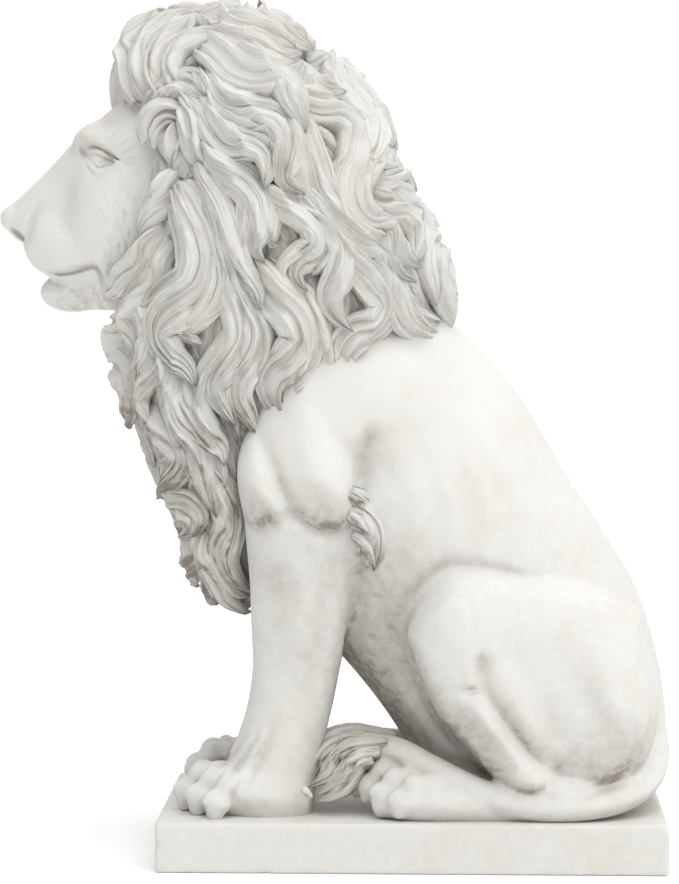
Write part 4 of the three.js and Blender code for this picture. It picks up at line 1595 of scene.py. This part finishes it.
@dataclass
class Plinth:
    """The low plinth, with eased edges that are a little worn.

    Attributes:
        length: Its length.
        width: Its width.
        height: Its height.
        easing: The radius of its edges.
        cuts: Into how many faces its length, width and height are cut.
        chips: Where an edge is chipped, from the plinth's middle, and the radius of the chip.
    """

    length: float = 425.0
    width: float = 250.0
    height: float = 42.0
    easing: float = 3.0
    cuts: tuple[int, int, int] = (104, 62, 20)
    chips: tuple[tuple[tuple[float, float, float], float], ...] = (
        ((-212, -125, 3), 9), ((-206, -125, 21), 5), ((60, -125, 21), 4),
        ((212, -125, 20), 5), ((-120, -125, -20), 6), ((150, -125, -21), 5),
    )

    def build(self) -> bpy.types.Object:
        """Make the plinth's piece."""
        size = np.array([self.length, self.width, self.height]) / 2
        start = 0
        points, faces = [], []
        for axis in range(3):
            for sign in (-1, 1):
                first, second = [i for i in range(3) if i != axis]
                a = np.linspace(-1, 1, self.cuts[first] + 1)
                b = np.linspace(-1, 1, self.cuts[second] + 1)
                a = np.sign(a) * (1 - (1 - np.abs(a)) ** 1.15)
                b = np.sign(b) * (1 - (1 - np.abs(b)) ** 1.15)
                grid = np.zeros((len(a), len(b), 3))
                grid[..., first] = a[:, None] * size[first]
                grid[..., second] = b[None, :] * size[second]
                grid[..., axis] = sign * size[axis]
                index = start + np.arange(len(a) * len(b)).reshape(len(a), len(b))
                quads = np.stack([index[:-1, :-1], index[1:, :-1],
                                  index[1:, 1:], index[:-1, 1:]], -1).reshape(-1, 4)
                if (sign > 0) == (axis == 1):
                    quads = quads[:, ::-1]
                points.append(grid.reshape(-1, 3))
                faces.append(quads)
                start += len(a) * len(b)
        cloud, faces = np.vstack(points), np.vstack(faces)
        inner = np.clip(cloud, -(size - self.easing), size - self.easing)
        out = cloud - inner
        far = np.linalg.norm(out, axis=1, keepdims=True)
        cloud = inner + out / np.maximum(far, 1e-9) * np.minimum(far, self.easing)
        for spot, radius in self.chips:
            away = cloud - np.array(spot, float)
            near = np.linalg.norm(away, axis=1, keepdims=True)
            dent = np.clip(1 - near / radius, 0, 1) ** 2
            cloud = cloud - np.sign(cloud) * dent * [1.2, 1.6, 1.2] * (radius / 6)
        cloud[:, 2] += size[2]
        cloud[:, 2] = np.clip(cloud[:, 2], 0, self.height)
        merged, back = np.unique(np.round(cloud, 4), axis=0, return_inverse=True)
        return make_piece("plinth", Shell(merged, back.reshape(-1)[faces]))


# Patina, painted shade and finish

def linear(colour: str) -> tuple[float, float, float, float]:
    """Turn a colour into linear values.

    Args:
        colour: The sRGB colour as a hex number.

    Returns:
        Red, green, blue and 1.
    """
    parts = [int(colour[i:i + 2], 16) / 255 for i in (1, 3, 5)]
    return (*[c / 12.92 if c <= 0.04045 else ((c + 0.055) / 1.055) ** 2.4 for c in parts], 1.0)


@dataclass
class PatinaAndShade:
    """Finds how deep each point lies between its neighbours, for the wash that settles there, and
    where painted shade goes.

    Attributes:
        grain: The distance between two points of the grid.
        near: How far round a point the small hollows are felt.
        wide: How far round a point the large hollows are felt.
        under: How much painted shade the undersides get.
        between: The middle's X and Z, and the half-lengths, of the flank between the legs.
        between_shade: How much painted shade it gets.
        low_share: How much darker the lower half is painted, more so towards the bottom.
    """

    grain: float = 2.6
    near: float = 4.0
    wide: float = 17.0
    under: float = 0.85
    between: tuple[float, float, float, float] = (-22.0, 172.0, 46.0, 86.0)
    between_shade: float = 0.5
    low_share: float = 0.15

    def fullness(self, pieces: Sequence[bpy.types.Object]) -> tuple[np.ndarray, np.ndarray]:
        """Fill a grid with the pieces' stone.

        Args:
            pieces: The pieces.

        Returns:
            The grid, 1 in stone and 0 in air, and its first point.
        """
        low = np.array([1e9] * 3)
        high = -low
        clouds = []
        for piece in pieces:
            mesh = piece.data
            cloud = np.empty(len(mesh.vertices) * 3, np.float32)
            mesh.vertices.foreach_get("co", cloud)
            cloud = cloud.reshape(-1, 3) / MM
            mesh.calc_loop_triangles()
            corners = np.empty(len(mesh.loop_triangles) * 3, np.int32)
            mesh.loop_triangles.foreach_get("vertices", corners)
            clouds.append((cloud, corners.reshape(-1, 3).astype(np.uint32)))
            low, high = np.minimum(low, cloud.min(0)), np.maximum(high, cloud.max(0))
        pad = 2.5 * self.wide
        first = np.floor((low - pad) / self.grain).astype(int)
        size = np.ceil((high + pad) / self.grain).astype(int) - first + 1
        full = np.zeros(size, np.float32)
        for cloud, corners in clouds:
            grid = openvdb.FloatGrid.createLevelSetFromPolygons(
                cloud, triangles=corners,
                transform=openvdb.createLinearTransform(voxelSize=self.grain), halfWidth=2.0)
            piece = np.empty(size, np.float32)
            grid.copyToArray(piece, ijk=tuple(int(i) for i in first))
            full = np.maximum(full, np.clip(0.5 - piece / self.grain, 0, 1))
        return full, first

    def softened(self, full: np.ndarray, reach: float) -> np.ndarray:
        """Spread each value of a grid over its surroundings.

        Args:
            full: The grid.
            reach: How far a value is felt, in mm.

        Returns:
            The grid of the spread values.
        """
        sigma = reach / self.grain
        waves = [np.fft.fftfreq(full.shape[0]), np.fft.fftfreq(full.shape[1]),
                 np.fft.rfftfreq(full.shape[2])]
        falls = [np.exp(-2 * (math.pi * sigma * wave) ** 2) for wave in waves]
        spread = np.fft.rfftn(full)
        spread *= falls[0][:, None, None]
        spread *= falls[1][None, :, None]
        spread *= falls[2][None, None, :]
        return np.fft.irfftn(spread, s=full.shape).astype(np.float32)

    def between_points(self, values: np.ndarray, place: np.ndarray) -> np.ndarray:
        """Read a grid between its points.

        Args:
            values: The grid.
            place: Where it is read, in steps of the grid.

        Returns:
            The value at each place.
        """
        low = np.clip(np.floor(place).astype(int), 0, np.array(values.shape) - 2)
        part = np.clip(place - low, 0, 1)
        total = np.zeros(len(place))
        for dx, dy, dz in np.ndindex(2, 2, 2):
            weight = ((part[:, 0] if dx else 1 - part[:, 0])
                      * (part[:, 1] if dy else 1 - part[:, 1])
                      * (part[:, 2] if dz else 1 - part[:, 2]))
            total += weight * values[low[:, 0] + dx, low[:, 1] + dy, low[:, 2] + dz]
        return total

    def painted_shade(self, cloud: np.ndarray, out: np.ndarray) -> np.ndarray:
        """Find how much painted shade each point gets: on undersides and on the flank between the
        legs, and darker towards the bottom.

        Args:
            cloud: The points in mm.
            out: Their outward directions.

        Returns:
            A share for each point.
        """
        x, y, z = cloud.T
        # painted shade on the undersides, strongest where they face down
        shade_share = np.clip(-out[:, 2] * 1.4, 0, 1) * self.under
        shade_share *= np.interp(z, [40, 70, 380, 450], [0, 1, 1, 0.2])
        x0, z0, x_half, z_half = self.between
        flank = np.exp(-((x - x0) / x_half) ** 2 - ((z - z0) / z_half) ** 2)
        flank *= np.clip((101 - np.abs(y)) / 9, 0, 1) * np.clip((z - 50) / 20, 0, 1)
        # painted shade on the flank between the legs
        shade_share = np.maximum(shade_share, flank * self.between_shade)
        # darker towards the bottom
        return shade_share + np.interp(z, [0, 260, 400], [1, 0.7, 0]) * self.low_share

    def settle(self, pieces: Sequence[bpy.types.Object]) -> None:
        """Write the values small_hollow, large_hollow and painted_shade to the pieces' points.

        Args:
            pieces: The pieces.
        """
        full, first = self.fullness(pieces)
        fields = {"small_hollow": self.softened(full, self.near),
                  "large_hollow": self.softened(full, self.wide)}
        for piece in pieces:
            mesh = piece.data
            cloud = np.empty(len(mesh.vertices) * 3, np.float32)
            mesh.vertices.foreach_get("co", cloud)
            cloud = cloud.reshape(-1, 3) / MM
            out = np.empty(len(mesh.vertices) * 3, np.float32)
            mesh.vertex_normals.foreach_get("vector", out)
            out = out.reshape(-1, 3)
            place = (cloud + out * 1.5) / self.grain - first
            rows = {name: self.between_points(values, place) for name, values in fields.items()}
            # painted shade on undersides and between the legs
            rows["painted_shade"] = self.painted_shade(cloud, out)
            for name, row in rows.items():
                data = mesh.attributes.new(name, "FLOAT", "POINT").data
                data.foreach_set("value", row.astype(np.float32))


def add_node(tree: bpy.types.NodeTree, kind: str, links: Optional[dict[Any, Any]] = None,
             values: Optional[dict[Any, Any]] = None, **settings: Any) -> bpy.types.Node:
    """Add a shader node with its settings, values and links.

    Args:
        tree: The node tree.
        kind: The node's type.
        links: Sockets of other nodes by the name or number of the input that they feed.
        values: Values by the name or number of their input.
        settings: The node's own settings.

    Returns:
        The node.
    """
    node = tree.nodes.new(kind)
    for name, value in settings.items():
        setattr(node, name, value)
    for name, value in (values or {}).items():
        node.inputs[name].default_value = value
    for name, socket in (links or {}).items():
        tree.links.new(socket, node.inputs[name])
    return node


def noise(tree: bpy.types.NodeTree, place: bpy.types.NodeSocket, scale: float, detail: float,
          rough: float) -> bpy.types.NodeSocket:
    """Add a noise of the given scale, detail and roughness, and return its value."""
    values = {"Scale": scale, "Detail": detail, "Roughness": rough}
    return add_node(tree, "ShaderNodeTexNoise", {"Vector": place}, values).outputs["Fac"]


def spread(tree: bpy.types.NodeTree, value: bpy.types.NodeSocket, start: float, end: float,
           low: float, high: float) -> bpy.types.NodeSocket:
    """Turn a value that runs from start to end into one that runs from low to high."""
    values = {"From Min": start, "From Max": end, "To Min": low, "To Max": high}
    return add_node(tree, "ShaderNodeMapRange", {"Value": value}, values).outputs[0]


def reckon(tree: bpy.types.NodeTree, operation: str, first: bpy.types.NodeSocket,
           second: bpy.types.NodeSocket, clamp: bool = False) -> bpy.types.NodeSocket:
    """Add or multiply two values and return the result."""
    return add_node(tree, "ShaderNodeMath", {0: first, 1: second}, operation=operation,
                    use_clamp=clamp).outputs[0]


def covered(tree: bpy.types.NodeTree, share: bpy.types.NodeSocket, under: bpy.types.NodeSocket,
            colour: str) -> bpy.types.NodeSocket:
    """Cover a colour with another by a share, and return the result."""
    return add_node(tree, "ShaderNodeMix", {"Factor": share, 6: under}, {7: linear(colour)},
                    data_type="RGBA").outputs[2]


@dataclass(frozen=True)
class CastStone:
    """Cast stone resin, painted off-white and washed with a thin grey-brown that was wiped off.

    The paint is matt and almost even. The wash stays in the grooves of the hair and in hollows,
    thins out over the open flanks, and leaves faint warm clouds there. The same grey-brown is
    laid as painted shade on undersides and between the legs, darker towards the bottom, and
    the crests get a painted highlight.

    Attributes:
        name: The material's name.
        paint: The off-white paint.
        warm: The paint where the wash left a warm cloud.
        painted_crest_highlight: A painted highlight on the crests, lighter than the paint.
        wash: The thin wash, laid also as painted shade.
        deep_wash_and_shade: The wash where it is thickest, and the darkest painted shade.
        roughness: How matt the paint is.
        cloud_mm: The size of a cloud.
        streak_mm: The size of a streak of the cloth.
        grit_mm: The size of the grit.
        hair_mm: The width of the finest lines along a lock.
        hair_run_mm: Their length.
    """

    name: str = "washed_cast_stone"
    paint: str = "#E0DFDB"
    warm: str = "#DBD7CE"
    # the colour of the painted highlight on the crests
    painted_crest_highlight: str = "#F7F6F2"
    # the wash colours also give the painted shade
    wash: str = "#9A9186"
    deep_wash_and_shade: str = "#756C62"
    roughness: float = 0.62
    cloud_mm: float = 60.0
    streak_mm: float = 9.0
    # grit and lines are finer on the real stone than a pixel shows, so both are drawn coarser
    grit_mm: float = 0.9
    hair_mm: float = 1.9
    hair_run_mm: float = 50.0

    def make(self) -> bpy.types.Material:
        """Make the material.

        Returns:
            The material.
        """
        material = bpy.data.materials.new(self.name)
        material.use_nodes = True
        tree = material.node_tree
        tree.nodes.clear()
        place = add_node(tree, "ShaderNodeTexCoord").outputs["Object"]
        small, large, groove, painted_shade = (
            add_node(tree, "ShaderNodeAttribute", attribute_name=name).outputs["Fac"]
            for name in ("small_hollow", "large_hollow", "groove", "painted_shade"))
        clouds = noise(tree, place, 1 / (self.cloud_mm * MM), 4.0, 0.6)
        streaks = noise(tree, place, 1 / (self.streak_mm * MM), 5.0, 0.65)
        grit = noise(tree, place, 1 / (self.grit_mm * MM), 2.0, 0.5)
        hair = add_node(tree, "ShaderNodeAttribute", attribute_name="hair").outputs["Vector"]
        combed = add_node(tree, "ShaderNodeMapping", {"Vector": hair},
                          {"Scale": (1 / self.hair_mm, 1 / self.hair_run_mm, 1.0)})
        combed = noise(tree, combed.outputs[0], 1.0, 3.0, 0.55)

        # the wash in small and large hollows and along the strands, and painted shade on undersides
        # and between the legs
        both = reckon(tree, "ADD", spread(tree, small, 0.5, 0.96, 0.0, 0.78),
                      spread(tree, large, 0.49, 0.92, 0.0, 0.72))
        # painted shade on undersides and between the legs joins the wash
        both = reckon(tree, "ADD", both, painted_shade)
        lines = add_node(tree, "ShaderNodeMath", {0: groove}, {1: 0.34}, operation="MULTIPLY")
        lines = reckon(tree, "ADD", lines.outputs[0], spread(tree, combed, 0.54, 0.32, 0.0, 0.3))
        lines = reckon(tree, "MULTIPLY", lines, spread(tree, small, 0.25, 0.6, 0.35, 1.0))
        both = reckon(tree, "ADD", both, lines)
        # how much wash and painted shade each point takes
        wash_and_shade = reckon(tree, "MULTIPLY", both, spread(tree, streaks, 0.3, 0.7, 0.65, 1.25), True)

        # the colour: warm clouds on the paint, a painted highlight on the crests, then the wash and
        # painted shade twice
        warmth = spread(tree, clouds, 0.45, 0.7, 0.0, 0.8)
        colour = add_node(tree, "ShaderNodeMix", {"Factor": warmth},
                          {6: linear(self.paint), 7: linear(self.warm)}, data_type="RGBA").outputs[2]
        # painted highlight on the crests, where the surface stands out
        colour = covered(tree, spread(tree, small, 0.46, 0.29, 0.0, 1.0), colour, self.painted_crest_highlight)
        colour = covered(tree, spread(tree, wash_and_shade, 0.1, 0.9, 0.0, 0.82), colour, self.wash)
        colour = covered(tree, spread(tree, wash_and_shade, 0.7, 1.0, 0.0, 0.6), colour, self.deep_wash_and_shade)

        # the relief and the shine
        relief = add_node(tree, "ShaderNodeMath", {0: grit}, {1: 0.35}, operation="MULTIPLY")
        relief = reckon(tree, "ADD", relief.outputs[0], streaks)
        bump = add_node(tree, "ShaderNodeBump", {"Height": relief},
                        {"Strength": 0.25, "Distance": 0.0009}).outputs["Normal"]
        bump = add_node(tree, "ShaderNodeBump", {"Height": combed, "Normal": bump},
                        {"Strength": 1.0, "Distance": 0.0022}).outputs["Normal"]
        shine = spread(tree, streaks, 0.3, 0.7, self.roughness - 0.06, self.roughness + 0.1)
        stone = add_node(tree, "ShaderNodeBsdfPrincipled",
                         {"Base Color": colour, "Roughness": shine, "Normal": bump},
                         {"Specular IOR Level": 0.35})
        add_node(tree, "ShaderNodeOutputMaterial", {"Surface": stone.outputs[0]})
        return material


# The studio

@dataclass
class Studio:
    """A pale sweep, soft light and the camera of the side drawing.

    Attributes:
        floor: The floor's colour.
        floor_half: Half the floor's length, in metres.
        eye: Where the camera stands, in metres.
        aim: What it looks at, in metres.
        lens: Its focal length.
        sensor: The width of its sensor.
        sun: The strength of the soft light.
        sun_way: The direction that it shines in.
        sun_angle: How wide it looks, in degrees.
        sky: The brightness of the room behind the lion.
        room: The brightness of the room elsewhere.
        top: How much brighter the room is overhead.
        brightest: The direction of its brightest place.
    """

    floor: str = "#FFFFFF"
    floor_half: float = 6.0
    eye: tuple[float, float, float] = (0.0318, -2.75, 0.532)
    aim: tuple[float, float, float] = (-0.0636, 0.0, 0.3498)
    lens: float = 130.9
    sensor: float = 36.0
    sun: float = 1.45
    sun_way: tuple[float, float, float] = (-0.36, 0.49, -0.79)
    sun_angle: float = 78.0
    sky: float = 1.02
    room: float = 0.06
    top: float = 1.28
    brightest: tuple[float, float, float] = (0.12, -0.1, 0.98)

    def camera(self) -> None:
        """Place the camera as far from the left flank as the side drawing is seen from."""
        data = bpy.data.cameras.new("view")
        data.lens = self.lens
        data.sensor_width = self.sensor
        data.clip_end = 50
        camera = bpy.data.objects.new("view", data)
        bpy.context.scene.collection.objects.link(camera)
        camera.location = self.eye
        way = Vector(self.aim) - Vector(self.eye)
        camera.rotation_euler = way.to_track_quat("-Z", "Y").to_euler()
        bpy.context.scene.camera = camera

    def light(self) -> None:
        """Hang one soft light, high up on the right of the camera."""
        data = bpy.data.lights.new("soft_light", "SUN")
        data.energy = self.sun
        data.angle = math.radians(self.sun_angle)
        lamp = bpy.data.objects.new("soft_light", data)
        bpy.context.scene.collection.objects.link(lamp)
        lamp.rotation_euler = Vector(self.sun_way).to_track_quat("-Z", "Y").to_euler()

    def build(self) -> None:
        """Make the floor, the lights and the camera."""
        self.camera()
        mesh = bpy.data.meshes.new("floor")
        far = self.floor_half
        mesh.from_pydata([(-far, -far, 0), (far, -far, 0), (far, far, 0), (-far, far, 0)], [],
                         [(0, 1, 2, 3)])
        floor = bpy.data.objects.new("floor", mesh)
        bpy.context.scene.collection.objects.link(floor)
        finish = bpy.data.materials.new("white_paper")
        finish.use_nodes = True
        shader = finish.node_tree.nodes["Principled BSDF"]
        shader.inputs["Base Color"].default_value = linear(self.floor)
        shader.inputs["Roughness"].default_value = 0.9
        mesh.materials.append(finish)
        self.light()
        world = bpy.data.worlds.new("white_room")
        world.use_nodes = True
        tree = world.node_tree
        way = add_node(tree, "ShaderNodeTexCoord").outputs["Generated"]
        parts = add_node(tree, "ShaderNodeSeparateXYZ", {"Vector": way})
        bright = add_node(tree, "ShaderNodeMapRange", {"Value": parts.outputs["Y"]},
                          {"From Min": 0.5, "From Max": 0.95, "To Min": self.room,
                           "To Max": self.sky}, interpolation_type="SMOOTHSTEP")
        above = add_node(tree, "ShaderNodeVectorMath", {0: way}, {1: self.brightest},
                         operation="DOT_PRODUCT")
        upper = spread(tree, above.outputs["Value"], 0.1, 1.0, 0.0, self.top)
        whole = reckon(tree, "ADD", bright.outputs[0], upper)
        tree.links.new(whole, tree.nodes["Background"].inputs["Strength"])
        tree.nodes["Background"].inputs["Color"].default_value = (1, 1, 1, 1)
        bpy.context.scene.world = world
        bpy.context.scene.view_settings.view_transform = "Standard"


def main() -> None:
    """Build the studio and every piece, then dress the pieces."""
    logging.basicConfig(level=logging.INFO, format="%(asctime)s %(name)s %(message)s")
    Studio().build()
    pieces = [Plinth().build()]
    LOG.info("plinth made")
    pieces.extend(Body().build())
    LOG.info("body made")
    pieces.append(Head().build())
    LOG.info("head made")
    pieces.extend(Mane().build())
    LOG.info("mane made")
    pieces.append(Tuft().build())
    LOG.info("tail tuft made")
    PatinaAndShade().settle(pieces)
    LOG.info("patina settled")
    stone = CastStone().make()
    for piece in pieces:
        carry(piece, stone)


if __name__ == "__main__":
    main()
